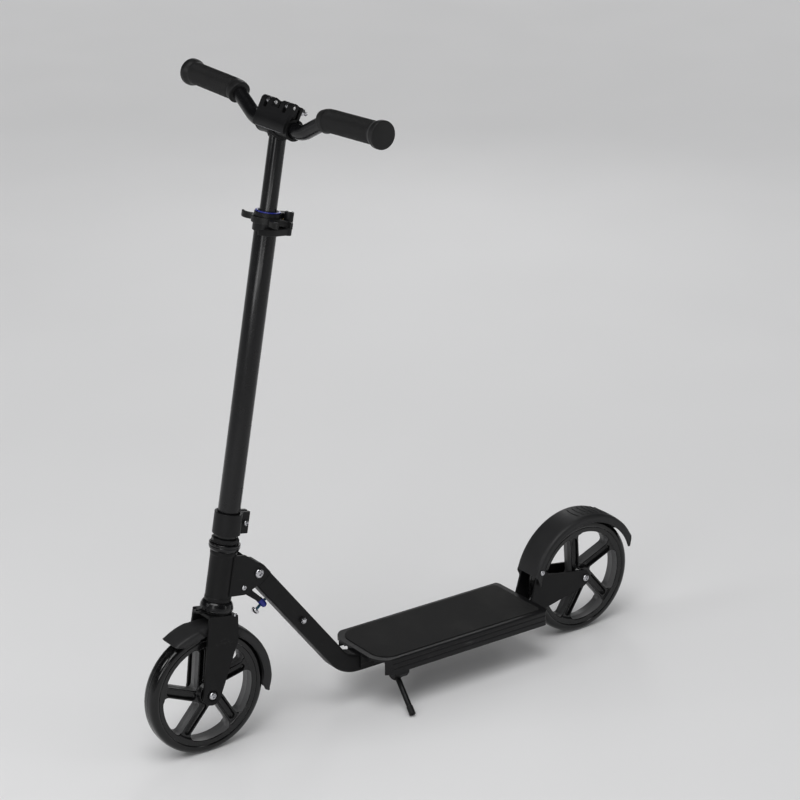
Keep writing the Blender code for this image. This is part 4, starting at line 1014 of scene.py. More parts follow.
def guard_shell(name, centre, radius, start, end, half_width, slope, thick, rows, blunt=1.4):
    """A mudguard's shell. slope is how many degrees short its skirts stop, and blunt rounds its start."""
    skirt, lip, lip_wide = 0.013, 0.0003, 0.0035
    half = smooth_path([(0.0, -0.03), (0.45, 0.0), (0.86, 0.10), (1.0, 0.38), (1.0, 0.72), (1.0, 1.0)], 4)
    section = [(-p.x, p.y) for p in reversed(half[1:])] + [(p.x, p.y) for p in half]
    width = len(section)
    centre = Vector(centre)
    verts = []
    for shrink in (0.0, thick):
        for i in range(rows + 1):
            share = i / rows
            base = start + (end - start) * share
            near_end = min(share, 1 - share) * abs(end - start) * pi / 180 * radius
            raised = lip * max(0.0, 1 - (near_end / lip_wide) ** 4) if shrink == 0 else 0.0
            for y, depth in section:
                depth_now = max(depth, 0.0)
                angle = radians(base + slope * depth_now ** blunt * (1 - share) ** 3
                                     - slope * depth_now ** 1.4 * share ** 3)
                reach = radius + raised - shrink - depth * skirt
                wide = half_width(base) - shrink + raised
                verts.append(centre + Vector((reach * cos(angle), y * wide, reach * sin(angle))))
    layer = (rows + 1) * width
    faces = []
    for i in range(rows):
        for k in range(width - 1):
            a = i * width + k
            faces.append([a, a + 1, a + width + 1, a + width])
            faces.append([layer + a, layer + a + width, layer + a + width + 1, layer + a + 1])
        for k in (0, width - 1):
            a = i * width + k
            faces.append([a, a + width, layer + a + width, layer + a])
    for i in (0, rows):
        for k in range(width - 1):
            a = i * width + k
            faces.append([a, a + 1, layer + a + 1, layer + a])
    return mesh_object(name, verts, faces)


def step_up(value, low, high):
    """0 below low, 1 above high, smooth between."""
    t = min(max((value - low) / (high - low), 0.0), 1.0)
    return t * t * (3 - 2 * t)


def front_guard_half(angle):
    """Narrow between the fork's blades, full width outside them, and drawn in a little at the tips."""
    front = step_up(angle, 106.5, 110.5) * 0.0025
    rear = step_up(69.5 - angle, 0.0, 4.0) * 0.0025
    tips = step_up(angle, 118, 134) * 0.0012 + step_up(12 - angle, 0, 15) * 0.0035
    return 0.0205 + front + rear - tips


def brake_half(angle):
    """Drawn in towards the rear tip."""
    return 0.0275 - 0.002 * step_up(45 - angle, 0, 16)


def make_mudguards():
    centre = (-AXLE_LEAD, 0, 0)
    shell = guard_shell("mudguard_front", centre, 0.112, -3, 132, front_guard_half, 8, 0.0022, 240, blunt=4.0)
    show(shell, "fender", STEER, "front_fender", soft=0.0006)
    boss = tube("mudguard_boss", 0.009, 0.0035, 0.1095, 0.1215, 0.0008)
    show(boss, "fender", STEER, body=BODY_OF["front_fender"])
    back = BRAKE.inverted() @ REAR_AXLE.translation
    shell = guard_shell("brake_shell", back, 0.114, 165, 29, brake_half, 9, 0.0024, 200)
    drill(shell, 0.0028, 0.04)
    show(shell, "fender", BRAKE, "rear_fender_brake", soft=0.0006)
    rib_half, rib_r, ribs = 0.017, 0.0011, 7
    for number in range(ribs):
        angle = 96 - 5.2 * number
        path = []
        for k in range(25):
            y = -rib_half + 2 * rib_half * k / 24
            a = radians(angle + 1.6 * (1 - (y / rib_half) ** 2))
            reach = 0.1142 - 0.0001 * (y / rib_half) ** 2
            path.append(back + Vector((reach * cos(a), y, reach * sin(a))))
        rib = cord(f"brake_rib_{number}", path, lambda i: rib_r * (0.35 + 0.65 * min(1, i / 3, (24 - i) / 3)))
        show(rib, "fender", BRAKE, body="foot_brake")


# ---------------------------------------------------------------- head
def make_head():
    profile = [(0.0168, 0.1463), (0.0206, 0.1463), (0.0206, 0.1520), (0.0200, 0.1532), (0.0200, 0.2190)]
    profile += [(0.0206, 0.2202), (0.0206, 0.2260), (0.0168, 0.2260)]
    show_turned("head_shell", profile, "paint", STEER, "head_tube", corner=0.0006)


def make_fold_plates():
    """The two plates welded to the head tube, which hold the hinge bolt and the latch pin."""
    fold = STEER.inverted() @ NECK.translation
    latch = STEER.inverted() @ LATCH.translation
    outline = [(0.006, 0.156), (latch.x + 0.004, latch.z - 0.012), (fold.x + 0.012, fold.z - 0.013)]
    outline += [(fold.x + 0.014, fold.z + 0.006), (fold.x - 0.004, fold.z + 0.015), (0.028, 0.221)]
    outline += [(0.006, 0.221)]
    outline = rounded(outline, [0, 0.009, 0.010, 0.010, 0.010, 0.008, 0], 8)
    for side, way in SIDES:
        near, far = sorted((way * 0.0158, way * 0.0195))
        plate = prism("fold_plate_" + side, outline, near, far)
        drill(plate, 0.0043, 0.03, centre=(fold.x, 0, fold.z))
        drill(plate, 0.0028, 0.03, centre=(latch.x, 0, latch.z))
        show(plate, "paint", STEER, "head_tube", soft=0.0007)
        path = [(0.0078, way * 0.0197, 0.1580 + 0.0610 * k / 110) for k in range(111)]
        show(weld("plate_bead_" + side, path, 0.0016, 11 + way), "paint", STEER, body=BODY_OF["head_tube"])


def make_headset():
    cup = [(0.0193, 0.1311), (0.0244, 0.1311), (0.0256, 0.1325), (0.0252, 0.1338), (0.0257, 0.1352),
           (0.0250, 0.1392), (0.0232, 0.1435), (0.0212, 0.1460), (0.0150, 0.1460), (0.0150, 0.1440),
           (0.0193, 0.1440)]
    show_turned("cup_lower", cup, "gloss", STEER, "lower_cup", corner=0.0012, steps=5)
    cup = [(0.0150, 0.2263), (0.0213, 0.2263), (0.0232, 0.2290), (0.0241, 0.2325), (0.0236, 0.2340),
           (0.0241, 0.2355), (0.0238, 0.2380), (0.0193, 0.2380), (0.0193, 0.2285), (0.0150, 0.2285)]
    show_turned("cup_upper", cup, "gloss", STEER, "upper_cup", corner=0.0010, steps=5)
    for node in ("lower_bearing", "upper_bearing"):
        low, high = local_box(node, STEER)
        middle = (low.z + high.z) / 2
        profile = [(0.0146, low.z), (0.0190, low.z), (0.0190, middle - 0.001), (0.0186, middle),
                   (0.0190, middle + 0.001), (0.0190, high.z), (0.0146, high.z)]
        show_turned("race_" + node[:5], profile, "zinc", STEER, node, corner=0.0003)
    nut_low, nut_high = local_box("headset_nut", STEER)
    nut = hex_nut("lock_nut", 0.0146, 0.0215, nut_low.z, nut_high.z, "Z", sides=8)
    show(nut, "anodised", STEER, "headset_nut", soft=0.0004)


PLATE_FACE = 0.0198


def make_hinge():
    keep("fold_tongue", "paint", 0.0006)
    face = PLATE_FACE
    show_bolt("fold_bolt", NECK, "hinge_bolt", 0.004, face + 0.004, -face, 0.0075, 0.0045, thread=0.0)
    circlip = tube("hinge_clip", 0.0072, 0.0041, face, face + 0.0011, 0.0002, axis="Y", seg=SMALL)
    show(circlip, "zinc", NECK, body="head")


def make_latch():
    """The arm under the neck, on its pin."""
    face = PLATE_FACE
    show_bolt("latch_pin", LATCH, "latch_bolt", 0.0025, face + 0.002, -face, 0.0042, 0.0025, socket=0.0016)
    outline = [(-0.007, -0.006), (0.010, -0.006), (0.052, 0.0035), (0.052, 0.0115), (0.028, 0.0085)]
    outline += [(0.016, 0.0135), (0.008, 0.0135), (-0.007, 0.006)]
    outline = rounded(outline, [0.006, 0.010, 0, 0, 0.008, 0.002, 0.002, 0.006], 6)
    lever = prism("latch_arm", outline, -0.006, 0.006)
    drill(lever, 0.0028, 0.02)
    show(lever, "paint", LATCH, "latch_lever", soft=0.0011)
    make_latch_cap((0.052, 0, 0.0075))


def make_latch_cap(end):
    """The blue cap on the arm's end, and the stop screw through it."""
    cap = [(0.0033, GAP), (0.0045, GAP), (0.0049, 0.0010), (0.0050, 0.0130), (0.0043, 0.0162)]
    cap += [(0.0025, 0.0180), (0, 0.0187), (0, 0.0066), (0.0033, 0.0066)]
    cap = lathe("latch_tip", turned(cap, 0.0005, 4), "X", end, ROUND)
    for k in range(10):
        a = radians(36 * k)
        groove = tube("groove", 0.0007, 0, 0.0022, 0.0125, 0, axis="X", seg=16,
                      centre=(end[0], 0.0053 * cos(a), end[2] + 0.0053 * sin(a)))
        carve(cap, groove)
    screw_at = (end[0] + 0.0095, 0, end[2])
    drill(cap, 0.0026, 0.02, "Z", screw_at)
    show(cap, "blue", LATCH, "latch_cap", sharp=35)
    under, root, crest, tip, pitch = -0.0150, 0.0019, 0.0023, 0.0075, 0.0007
    show_bolt("latch_screw", LATCH, "latch_screw_head", 0.0022, -0.0148, under, 0.0064, 0.0054, "Z", screw_at,
              socket=0.0026)
    collar = [(root, -0.0151), (0.0063, -0.0151), (0.0061, -0.0143), (0.0034, -0.0131), (root, -0.0128)]
    show_turned("latch_screw_collar", collar, "zinc", LATCH, steps=4, centre=screw_at, seg=SMALL,
                body="latch")
    shank = [(0, under)]
    for k in range(32):
        start = under + k * pitch
        shank += [(root, start), (crest, start + pitch * 0.35), (crest, start + pitch * 0.6)]
    shank += [(root, tip), (0, tip)]
    show(lathe("latch_screw_shank", shank, "Z", screw_at, SMALL), "teal", LATCH, body="latch", sharp=35)


# ---------------------------------------------------------------- neck and deck
def ring_section(half, corner, steps):
    return [tuple(p) for p in rounded(box(-half, half, -half, half), corner, steps)]


def make_neck():
    half, level = 0.015, 0.0705
    fold = joint_at("fold")
    slope_angle = atan2(-_down_neck.z, _down_neck.x)
    run = (fold.z - level) / sin(slope_angle)
    slope = Vector((cos(slope_angle), 0, sin(slope_angle)))
    bend = Vector((run, 0, 0))
    path = rounded([Vector((0.0203, 0, 0)), bend, bend + slope * 0.175], 0.050, 24, closed=False)
    neck = sweep("neck", path, ring_section(half, 0.0042, 8), inner=ring_section(half - 0.002, 0.0022, 8))
    cross = (_down_neck.length, 0, 0)
    drill(neck, 0.0033, 0.02, centre=cross)
    show(neck, "paint", NECK, "neck_tube", soft=0.0004)
    face = half + GAP
    show_bolt("neck_bolt", NECK, "cross_bolt", 0.003, -face - 0.0065, face, 0.0052, 0.0034, centre=cross,
              thread=0.006)
    show_nut("neck_nut", NECK, "cross_nut", 0.0032, 0.0052, -face - 0.0048, -face, centre=cross)


def make_deck():
    low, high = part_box("deck")
    top, under, half = high.z, 0.062, high.y
    ceiling = top - 0.004
    rail_in, rib_in, rib_out = half - 0.006, 0.0153, 0.0185
    side = [(half, top), (half, 0.0835), (half - 0.0007, 0.0828), (half - 0.0007, 0.0812), (half, 0.0805)]
    side += [(half, 0.0745), (half - 0.0007, 0.0738), (half - 0.0007, 0.0722), (half, 0.0715), (half, 0.064)]
    outline = [(0, top)] + side + [(rail_in, 0.064), (rail_in, ceiling)]
    for y in (0.052, 0.040, 0.028):
        outline += [(y + 0.0012, ceiling), (y + 0.0012, ceiling - 0.0030)]
        outline += [(y - 0.0012, ceiling - 0.0030), (y - 0.0012, ceiling)]
    outline += [(rib_out, ceiling), (rib_out, under), (rib_in, under), (rib_in, ceiling)]
    outline += [(-y, z) for y, z in reversed(outline[1:])]
    radii = [0.0035 if z == top and abs(y) > 0.01 else 0.0003 for y, z in outline]
    deck = prism("deck_extrusion", rounded(outline, radii, 4), low.x - 0.001, high.x + 0.001, "X")
    plan = rounded(box(low.x, high.x, low.y - 0.001, high.y + 0.001), [0.035, 0.012, 0.012, 0.035], 12)
    carve(deck, prism("plan", plan, 0.05, 0.10, "Z"), operation="INTERSECT")
    show(deck, "deck", WORLD, "deck", soft=0.0004, segments=2)
    low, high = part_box("deck_grip_tape")
    plan = box(low.x, high.x, low.y, high.y)
    shrink = box(low.x + 0.0004, high.x - 0.0004, low.y + 0.0004, high.y - 0.0004)
    radii = [0.030, 0.008, 0.008, 0.030]
    tape = loft("grip_sheet", [(rounded(plan, radii, 14), low.z), (rounded(plan, radii, 14), high.z - 0.0002),
                               (rounded(shrink, radii, 14), high.z + 0.0001)], "Z")
    show(tape, "tape", WORLD, "deck_grip_tape", sharp=25)


def make_rear_end():
    for side in ("left", "right"):
        keep("rear_dropout_" + side, "paint", 0.0005)
    tip = local_box("fender_pin", BRAKE)[1].y
    show_bolt("fender_pin", BRAKE, "brake_pin", 0.0025, tip, -0.0278, 0.0045, 0.0022, socket=0.0015)
    turns, coil_r, wire_r, pitch = 5, 0.0034, 0.0006, 0.0024
    path = []
    for i in range(turns * 32 + 1):
        a = 2 * pi * i / 32
        path.append((coil_r * cos(a), (i / 32 - turns / 2) * pitch, coil_r * sin(a)))
    spring = cord("brake_spring", path, wire_r, 10)
    show(spring, "zinc", BRAKE, "fender_spring")


def make_kickstand():
    keep("kickstand_bracket", "paint", 0.0008)
    low, high = local_box("kickstand_leg", KICK)
    hub_low, toe = -0.0095, radians(8)
    hub = [(0, high.z), (0.0035, high.z), (0.0035, -GAP), (0.011, -GAP), (0.011, hub_low), (0, hub_low)]
    show_turned("stand_hub", hub, "paint", KICK, "kickstand_leg", corner=0.0010, steps=4, seg=ROUND)
    middle = (hub_low - GAP) / 2
    rod_r = 0.0045
    reach = (-low.y - 0.0015) / cos(toe)
    end = Vector((-sin(toe) * reach, -cos(toe) * reach, middle))
    path = [Vector((0, 0, middle)).lerp(end, k / 40) for k in range(41)]
    rod = cord("stand_rod", path, lambda i: rod_r * (1.0 if i < 40 else 0.72), 32)
    show(rod, "paint", KICK, "kickstand_leg", sharp=60)
    foot_start = Vector((0, 0, middle)).lerp(end, 0.80)
    rubber = [foot_start.lerp(end, k / 24) for k in range(25)]
    sizes = [0.0053 * (0.86 if k in (0, 24) else 1.0) - (0.0004 if k % 4 == 2 else 0) for k in range(25)]
    foot = cord("stand_foot", rubber, lambda i: sizes[i], 32)
    show(foot, "rubber", KICK, body="kickstand", sharp=60)


# ---------------------------------------------------------------- stem
def split_ring(inner, outer, ear_end, ear_half, slot_half):
    """A ring open towards +X, with an ear on each side of its slot."""
    meet = degrees(asin(ear_half / outer))
    slot = degrees(asin(slot_half / inner))
    ear = rounded([(outer * cos(radians(meet)), -ear_half), (ear_end, -ear_half),
                   (ear_end, -slot_half), (inner, -slot_half)], [0, 0.0045, 0.0006, 0], 8, closed=False)
    ear = [tuple(p) for p in ear[1:-1]]
    outline = arc((0, 0), outer, meet, 360 - meet, 96) + ear
    return outline + arc((0, 0), inner, 360 - slot, slot, 96) + mirrored(ear)


def make_split_ring(name, node, inner):
    """A clamp ring round the stem, with a bolt hole through its ears. Returns the hole's place."""
    low, high = local_box(node, STEER)
    ring = prism(name, split_ring(inner, high.y, high.x, 0.0085, 0.0013), low.z, high.z, "Z")
    hole = (0.0268, 0, (low.z + high.z) / 2)
    drill(ring, 0.0032, 0.02, centre=hole)
    show(ring, "anodised", STEER, node, soft=0.0007)
    return hole


def make_stem():
    low, high = local_box("stem_tube", STEER)
    radius = 0.017
    show(tube("stem_outer", radius, 0.0147, low.z, high.z, 0.0006), "gloss", STEER, "stem_tube")
    hole = make_split_ring("stem_foot_clamp", "stem_clamp", radius + GAP)
    show_bolt("stem_clamp_bolt", STEER, "foot_clamp_bolt", 0.0025, 0.0115, -0.0088, 0.0045, 0.0045,
              centre=hole, thread=0.003, socket=0.0022)
    make_split_ring("quick_collar", "qr_collar", radius + GAP)
    low, high = local_box("stem_bush", STEER)
    flange, rim_top = high.z - 0.002, high.z - 0.0004
    bore = 0.0130
    profile = [(0.0152, flange - 0.001), (0.0190, flange), (0.0190, rim_top), (0.0152, rim_top)]
    ring = lathe("bush_ring", turned(profile, 0.0005))
    carve(ring, prism("ring_gap", box(-0.03, -0.010, -0.0012, 0.0016), flange - 0.005, high.z + 0.005, "Z"))
    show(ring, "blue", STEER, "stem_bush", sharp=35)
    profile = [(bore, low.z), (0.0144, low.z), (0.0144, flange - 0.0009), (0.0150, flange - 0.0002)]
    profile += [(0.0150, high.z + 0.0006), (bore, high.z - 0.0002)]
    show_turned("bush_liner", profile, "plastic", STEER, "stem_bush", corner=0.0004)
    make_clips()


def make_clips():
    low, high = local_box("grip_clips", STEER)
    inner, outer = 0.0203, 0.0232
    outline = arc((0, 0), outer, 52, 308, 72) + arc((0, 0), inner, 308, 52, 72)
    show(prism("clip_band", outline, low.z, high.z, "Z"), "plastic", STEER, "grip_clips", soft=0.0010)
    centre_y, hook_out, hook_in = 0.0365, 0.0175, 0.0130
    thick, spine = (hook_out - hook_in) / 2, (hook_out + hook_in) / 2
    for side, way in SIDES:
        middle = (0, way * centre_y)
        first, last = way * 90 + 54, way * 90 + 306
        ends = []
        for angle, turn in ((last, 0), (first, 180)):
            a = radians(angle)
            tip = (middle[0] + spine * cos(a), middle[1] + spine * sin(a))
            ends.append(arc(tip, thick, angle + turn, angle + turn + 180, 14))
        outline = arc(middle, hook_out, first, last, 72)[:-1] + ends[0]
        outline += arc(middle, hook_in, last, first, 72)[1:-1] + ends[1][:-1]
        hook = prism("clip_hook_" + side, outline, low.z + 0.0001, high.z - 0.0001, "Z")
        show(hook, "plastic", STEER, "grip_clips", soft=0.0014)


def make_quick_release():
    low, high = local_box("qr_pin", QUICK)
    bottom, top = low.z + 0.0003, high.z - 0.0003
    barrel = lathe("cam_barrel", turned([(0, bottom), (0.0070, bottom), (0.0070, top), (0, top)], 0.0009, 4))
    slot = prism("cam_slot", box(-0.0052, 0.0100, -0.0052, 0.0100), -0.0038, 0.0038, "Z")
    carve(barrel, slot)
    drill(barrel, 0.0026, 0.03, "Z")
    show(barrel, "anodised", QUICK, "qr_lever", soft=0.0003, segments=2)
    level = -0.0112
    path = [(0, -0.0035, level), (-0.014, -0.0080, level), (-0.036, -0.0150, level), (-0.058, -0.0110, level)]
    path = rounded(path, 0.040, 14, closed=False)
    section = rounded(box(-0.0055, 0.0055, -0.0019, 0.0019), 0.0017, 6)
    count = len(path)
    scale = [1.0 if i < count - 3 else (0.96, 0.86, 0.62)[i - count + 3] for i in range(count)]
    arm = sweep("cam_arm", path, section, (0, 0, 1), scale=scale)
    show(arm, "anodised", QUICK, "qr_lever", soft=0.0004)
    profile = [(0, low.z), (0.0023, low.z), (0.0023, high.z - 0.0002), (0.0036, high.z - 0.0002),
               (0.0036, high.z + 0.0004), (0, high.z + 0.0006)]
    show_turned("cam_pin", profile, "pin", QUICK, "qr_pin", corner=0.0002, seg=SMALL)
    make_release_bolt()


def make_release_bolt():
    offset = STEER.inverted() @ QUICK.translation
    on_bolt = (offset.x, 0, offset.z)
    rod = [(0, -0.0125), (0.0028, -0.0125), (0.0028, 0.0088), (0.0058, 0.0088), (0.0058, 0.0133), (0, 0.0133)]
    show_turned("release_bolt", rod, "zinc", STEER, "qr_bolt", corner=0.0004, axis="Y", centre=on_bolt,
                seg=SMALL)
    washer = tube("release_washer", 0.0078, 0.0030, -0.0106, -0.0088, 0.0003, axis="Y", centre=on_bolt,
                  seg=ROUND)
    show(washer, "brass", STEER, body=BODY_OF["qr_bolt"])
    eye = tube("release_eye", 0.0046, 0.0026, -0.0034, 0.0034, 0.0004, centre=offset, seg=SMALL)
    show(eye, "zinc", STEER, body=BODY_OF["qr_bolt"])


# ---------------------------------------------------------------- handlebar
SADDLE_HALF = 0.0395
SADDLE_R = 0.0155
EAR_Y = 0.0245
BAR_R, BAR_WALL = 0.0111, 0.0018
GRIP_R, RIB_PITCH = 0.0168, 0.0021


def make_t_bar():
    low = local_box("t_bar", STEER)[0]
    bar_z = (STEER.inverted() @ BAR_CENTRE).z
    radius = 0.0127
    show(tube("stem_inner", radius, 0.0107, low.z, bar_z - 0.0125, 0.0006), "gloss", STEER, "t_bar")
    sleeve = arc((0, 0), SADDLE_R, 95, 445, 96) + arc((0, 0), 0.0114, 443, 97, 96)
    sleeve = prism("bar_saddle", sleeve, -SADDLE_HALF, SADDLE_HALF)
    show(sleeve, "paint", CLAMP, "t_bar", soft=0.0006)
    for side, way in SIDES:
        ring = [(0.0116, 0.0385), (0.0160, 0.0385), (0.0160, 0.0405), (0.0116, 0.0405)]
        ring = lathe("saddle_lip_" + side, turned(sided(ring, way), 0.0006, 4), "Y")
        carve(ring, prism("lip_gap", box(-0.0300, 0.0015, 0.005, 0.04), -0.05, 0.05))
        show(ring, "paint", CLAMP, body="t_bar")
        y = way * EAR_Y
        for front, (x0, x1) in ((True, (-0.0065, -0.0015)), (False, (0.0015, 0.0065))):
            ear = rounded(box(x0, x1, 0.0130, 0.0345), [0, 0, 0.0016, 0.0016], 4)
            ear = prism(f"saddle_ear_{side}_{'front' if front else 'rear'}", ear, y - 0.008, y + 0.008)
            drill(ear, 0.0032, 0.02, "X", (0.005, y, LEVER_FROM_BAR.z))
            show(ear, "paint", CLAMP, "t_bar", soft=0.0008)
    seam = [(-0.0152 * cos(radians(38)), -0.0385 + 0.077 * k / 20, -0.0152 * sin(radians(38)))
            for k in range(21)]
    show(cord("saddle_seam", seam, 0.0006, 10), "paint", CLAMP, body="t_bar")
    make_saddle_welds(radius, bar_z)


def make_saddle_welds(radius, bar_z):
    """Two beads round the inner tube, where it meets the round underside of the clamp."""
    for number, (size, drop) in enumerate(((0.0024, 0.0), (0.0017, 0.0026))):
        path = []
        for k in range(120):
            a = 2 * pi * k / 120
            reach = radius + 0.0014 - 0.0007 * number
            x, y = reach * cos(a), reach * sin(a)
            path.append((x, y, bar_z - drop - sqrt(max(SADDLE_R ** 2 - x * x, 1e-8)) - 0.0004))
        bead = weld(f"saddle_weld_{number}", path, size, 5 + number, closed=True, ripple=0.22)
        show(bead, "paint", STEER, body="t_bar")


def make_clamp_bolts():
    x, z = LEVER_FROM_BAR.x, LEVER_FROM_BAR.z
    near, far = 0.0098, 0.0372
    for side, way in SIDES:
        y = way * EAR_Y
        rod = [(0, 0.004), (0.0028, 0.004), (0.0028, 0.0225)]
        for k in range(13):
            start = 0.0225 + 0.0008 * k
            rod += [(0.0024, start), (0.0028, start + 0.0003), (0.0028, start + 0.0005)]
        rod += [(0.0022, 0.0335), (0, 0.0335)]
        rod = lathe("eyebolt_" + side, rod, "X", (x, y, z), SMALL)
        show(rod, "zinc", CLAMP, "clamp_eyebolt_" + side, sharp=35)
        eye = [(0.0031, -0.0035), (0.0056, -0.0035), (0.0056, 0.0035), (0.0031, 0.0035)]
        show_turned("eyebolt_eye_" + side, eye, "zinc", CLAMP, corner=0.0009, steps=4, axis="Y",
                    centre=(x, y, z), seg=ROUND, body="t_bar")
        show_nut("clamp_nut_" + side, CLAMP, "eyebolt_nut_" + side, 0.0031, 0.0058, 0.0068, 0.0125, "X",
                 (0, y, z))
        pin = [(0, near), (0.0028, near), (0.0028, far), (0.0040, far + 0.0001), (0.0040, far + 0.0007)]
        pin = turned(pin + [(0, far + 0.0009)], 0.0003)
        pin = lathe("cross_pin_" + side, sided(pin, way), "Y", seg=SMALL)
        show(pin, "pin", LEVER, "clamp_pin_" + side)


def make_flip_lever():
    px, pz = LEVER_FROM_BAR.x, LEVER_FROM_BAR.z
    inner, outer = SADDLE_R + 0.0007, SADDLE_R + 0.0042
    hug = [(x - px, z - pz) for x, z in arc((0, 0), inner, 214, 168, 20)]
    shell = [(x - px, z - pz) for x, z in arc((0, 0), outer, 168, 214, 20)]
    outline = hug + [(0.0022, -0.0125)] + arc((0, 0), 0.0064, -35, 180, 32) + shell
    lever = prism("flip_plate", outline, -SADDLE_HALF, SADDLE_HALF)
    tall = 0.02
    middle_gap = EAR_Y - 0.0135
    face = rounded(box(-SADDLE_HALF, SADDLE_HALF, -0.045, 0.0064), [0.007, 0.007, 0.0018, 0.0018], 8)
    carve(lever, prism("face", face, -0.04, 0.04, "X"), operation="INTERSECT")
    middle = rounded(box(-middle_gap, middle_gap, -0.0075, tall), [0.0020, 0.0020, 0, 0], 5)
    carve(lever, prism("middle", middle, -0.03, 0.03, "X"))
    for way in (-1, 1):
        y = way * EAR_Y
        fork = rounded(box(y - 0.0042, y + 0.0042, -0.0115, tall), [0.002, 0.002, 0, 0], 5)
        carve(lever, prism("slot", fork, -0.03, 0.03, "X"))
    drill(lever, 0.0031, 0.05)
    show(lever, "anodised", LEVER, "clamp_lever", soft=0.0006)
    a = radians(213)
    foot = (outer * cos(a) - px, outer * sin(a) - pz)
    # painted highlight: a thin pale steel cord along the plate's lower edge stands in for the light that edge
    # catches
    edge = cord("flip_edge_painted_highlight", [(foot[0], y, foot[1]) for y in (-0.033, 0.033)], 0.0003, 8)
    show(edge, "zinc", LEVER, body="flip_lever")


def bar_path(way, start, end, steps, step=0.002):
    """The bar's centre line in the bar's frame, between two distances along Y."""
    flat = rounded([(0.0005, 0), (0.062, 0), (0.118, 0.030), (0.250, 0.0345)], 0.048, steps, closed=False)
    made = []
    for a, b in zip(flat, flat[1:]):
        count = max(1, ceil((b - a).length / step))
        made += [a.lerp(b, k / count) for k in range(count)]
    made = [p for p in made + [flat[-1]] if start <= p.x <= end]
    return [Vector((0, way * p.x, p.y)) for p in made]


def edge_drop(distance, radius):
    """How far a rounded edge has dropped at a distance from the piece's end."""
    return radius * (1 - sqrt(max(0.0, 1 - (1 - min(distance, radius) / radius) ** 2)))


def grip_radius(run, left):
    """A smooth collar, fine ribs, and a flared outer end. run and left are the lengths from and to an end."""
    collar, flange, rib = 0.0118, 0.0190, 0.0017
    if run < collar:
        return GRIP_R * 1.035 - edge_drop(run, 0.0012) - 0.0004 * step_up(run, 0.008, collar)
    if left < flange:
        return GRIP_R * (1.0 + 0.215 * step_up(flange - left, 0.001, 0.012)) - edge_drop(left, 0.0022)
    wave = 0.5 + 0.5 * cos(2 * pi * (run - collar) / RIB_PITCH)
    return GRIP_R - rib + rib * (1 - wave ** 2.2) ** 0.8


def make_handles():
    for side, way in SIDES:
        path = bar_path(way, 0.0005, 0.2435, 24)
        bore = circle(BAR_R - BAR_WALL, 64)
        bar = sweep("bar_tube_" + side, path, circle(BAR_R, 64), (1, 0, 0), inner=bore)
        show(bar, "gloss", BAR, "bar_" + side)
        path = bar_path(way, 0.112, 0.2500, 24, RIB_PITCH / 8)
        runs = [0.0]
        for a, b in zip(path, path[1:]):
            runs.append(runs[-1] + (b - a).length)
        scale = [grip_radius(run, runs[-1] - run) / GRIP_R for run in runs]
        grip = sweep("grip_sleeve_" + side, path, circle(GRIP_R, 72), (1, 0, 0), scale=scale)
        show(grip, "rubber", BAR, "grip_" + side, sharp=70)


# ---------------------------------------------------------------- floor, light, camera
def make_stage():
    made = bmesh.new()
    bmesh.ops.create_circle(made, cap_ends=True, segments=96, radius=60.0)
    mesh = bpy.data.meshes.new("studio_floor")
    made.to_mesh(mesh)
    made.free()
    floor = link("studio_floor", mesh)
    look = Look("studio_paper", Specular_IOR_Level=0.2)
    colour = look.cloud(0.8, 3.0, (0.700, 0.700, 0.705), (0.725, 0.725, 0.730))
    colour = look.blend(look.span(look.from_axis((1.0, 1.0, 0.0)), 1.2, 8.0), colour, (0.860, 0.860, 0.865))
    mesh.materials.append(look.done(colour, look.span(look.noise(3.0, 3.0), 0.3, 0.7, 0.60, 0.72)))
    world = bpy.data.worlds.new("studio_air")
    bpy.context.scene.world = world
    world.use_nodes = True
    tree = world.node_tree
    air = tree.nodes["Background"]
    air.inputs["Color"].default_value = (0.98, 0.99, 1.0, 1)
    kinds = ("ShaderNodeTexCoord", "ShaderNodeSeparateXYZ", "ShaderNodeMapRange")
    way, parts, fade = (tree.nodes.new(kind) for kind in kinds)
    tree.links.new(way.outputs["Generated"], parts.inputs[0])
    fade.interpolation_type = "SMOOTHSTEP"
    tree.links.new(parts.outputs["Z"], fade.inputs["Value"])
    for socket, value in (("From Min", 0.02), ("From Max", 0.34), ("To Min", 0.40), ("To Max", 0.035)):
        fade.inputs[socket].default_value = value
    tree.links.new(fade.outputs["Result"], air.inputs["Strength"])


def lamp(name, at, target, wide, power, tall):
    data = bpy.data.lights.new(name, "AREA")
    data.shape = "RECTANGLE"
    data.size = wide
    data.size_y = tall
    data.energy = power
    obj = link(name, data)
    obj.location = at
    obj.rotation_euler = (target - at).to_track_quat("-Z", "Y").to_euler()


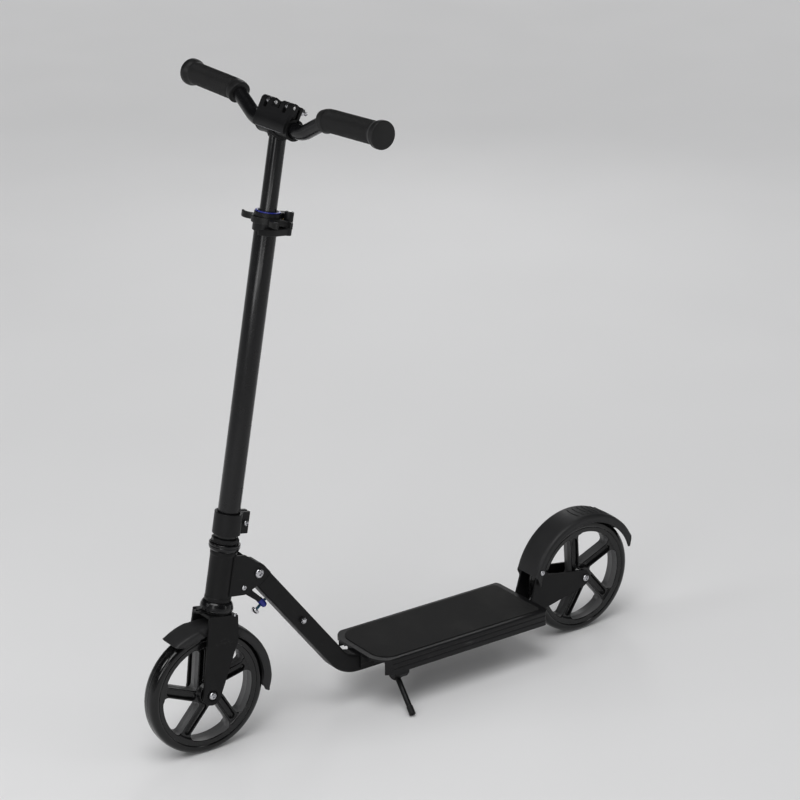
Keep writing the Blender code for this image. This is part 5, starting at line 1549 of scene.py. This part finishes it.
def sun(name, energy, angle, tilt, in_gloss=True):
    data = bpy.data.lights.new(name, "SUN")
    data.energy = energy
    data.angle = radians(angle)
    obj = link(name, data)
    obj.rotation_euler = tilt
    obj.visible_glossy = in_gloss


def make_lights(centre):
    """Even light on the floor, and narrow soft boxes that show as streaks on the gloss."""
    for name, place_from_centre, wide, power, tall in (
            ("overhead", (-0.5, -0.5, 2.8), 0.8, 9, 1.8),
            ("left_soft", (-2.4, -1.5, 1.2), 0.6, 11, 2.0),
            ("right_strip", (1.6, -2.4, 1.2), 0.30, 6, 2.0),
            ("rear_strip", (1.8, 2.3, 1.4), 0.5, 8, 1.8),
            ("front_box", (-2.2, 0.6, 1.3), 0.7, 9, 0.7),
            ("level_band", (-1.9, -1.7, 0.45), 2.4, 6, 0.22)):
        lamp(name, centre + Vector(place_from_centre), centre, wide, power, tall)
    sun("daylight", 1.25, 40, (radians(14), radians(-20), 0))
    sun("sky_fill", 1.0, 160, (0, 0, 0), in_gloss=False)


def make_camera(low, high):
    """The whole scooter, from its front left and a little above."""
    centre = (low + high) / 2 + Vector((0, 0, -0.015))
    azimuth, elevation, distance = radians(-36), radians(20), 3.8
    back = Vector((sin(azimuth) * cos(elevation), -cos(azimuth) * cos(elevation),
                   sin(elevation)))
    data = bpy.data.cameras.new("camera")
    data.lens = 110
    data.sensor_width = 36
    camera = link("camera", data)
    camera.location = centre + back * distance
    camera.rotation_euler = (-back).to_track_quat("-Z", "Y").to_euler()
    bpy.context.scene.camera = camera


bpy.context.scene.view_settings.view_transform = "Standard"
bpy.context.scene.view_settings.gamma = 0.90
make_stage()
make_lights((CAD_BOX[0] + CAD_BOX[1]) / 2)
make_camera(*CAD_BOX)
for make in (make_wheels, make_blades, make_crown, make_axle_hardware, make_eyelet, make_mudguards, make_head,
             make_fold_plates, make_headset, make_hinge, make_latch, make_neck, make_deck, make_rear_end,
             make_kickstand, make_stem, make_quick_release, make_t_bar, make_clamp_bolts, make_flip_lever,
             make_handles):
    make()
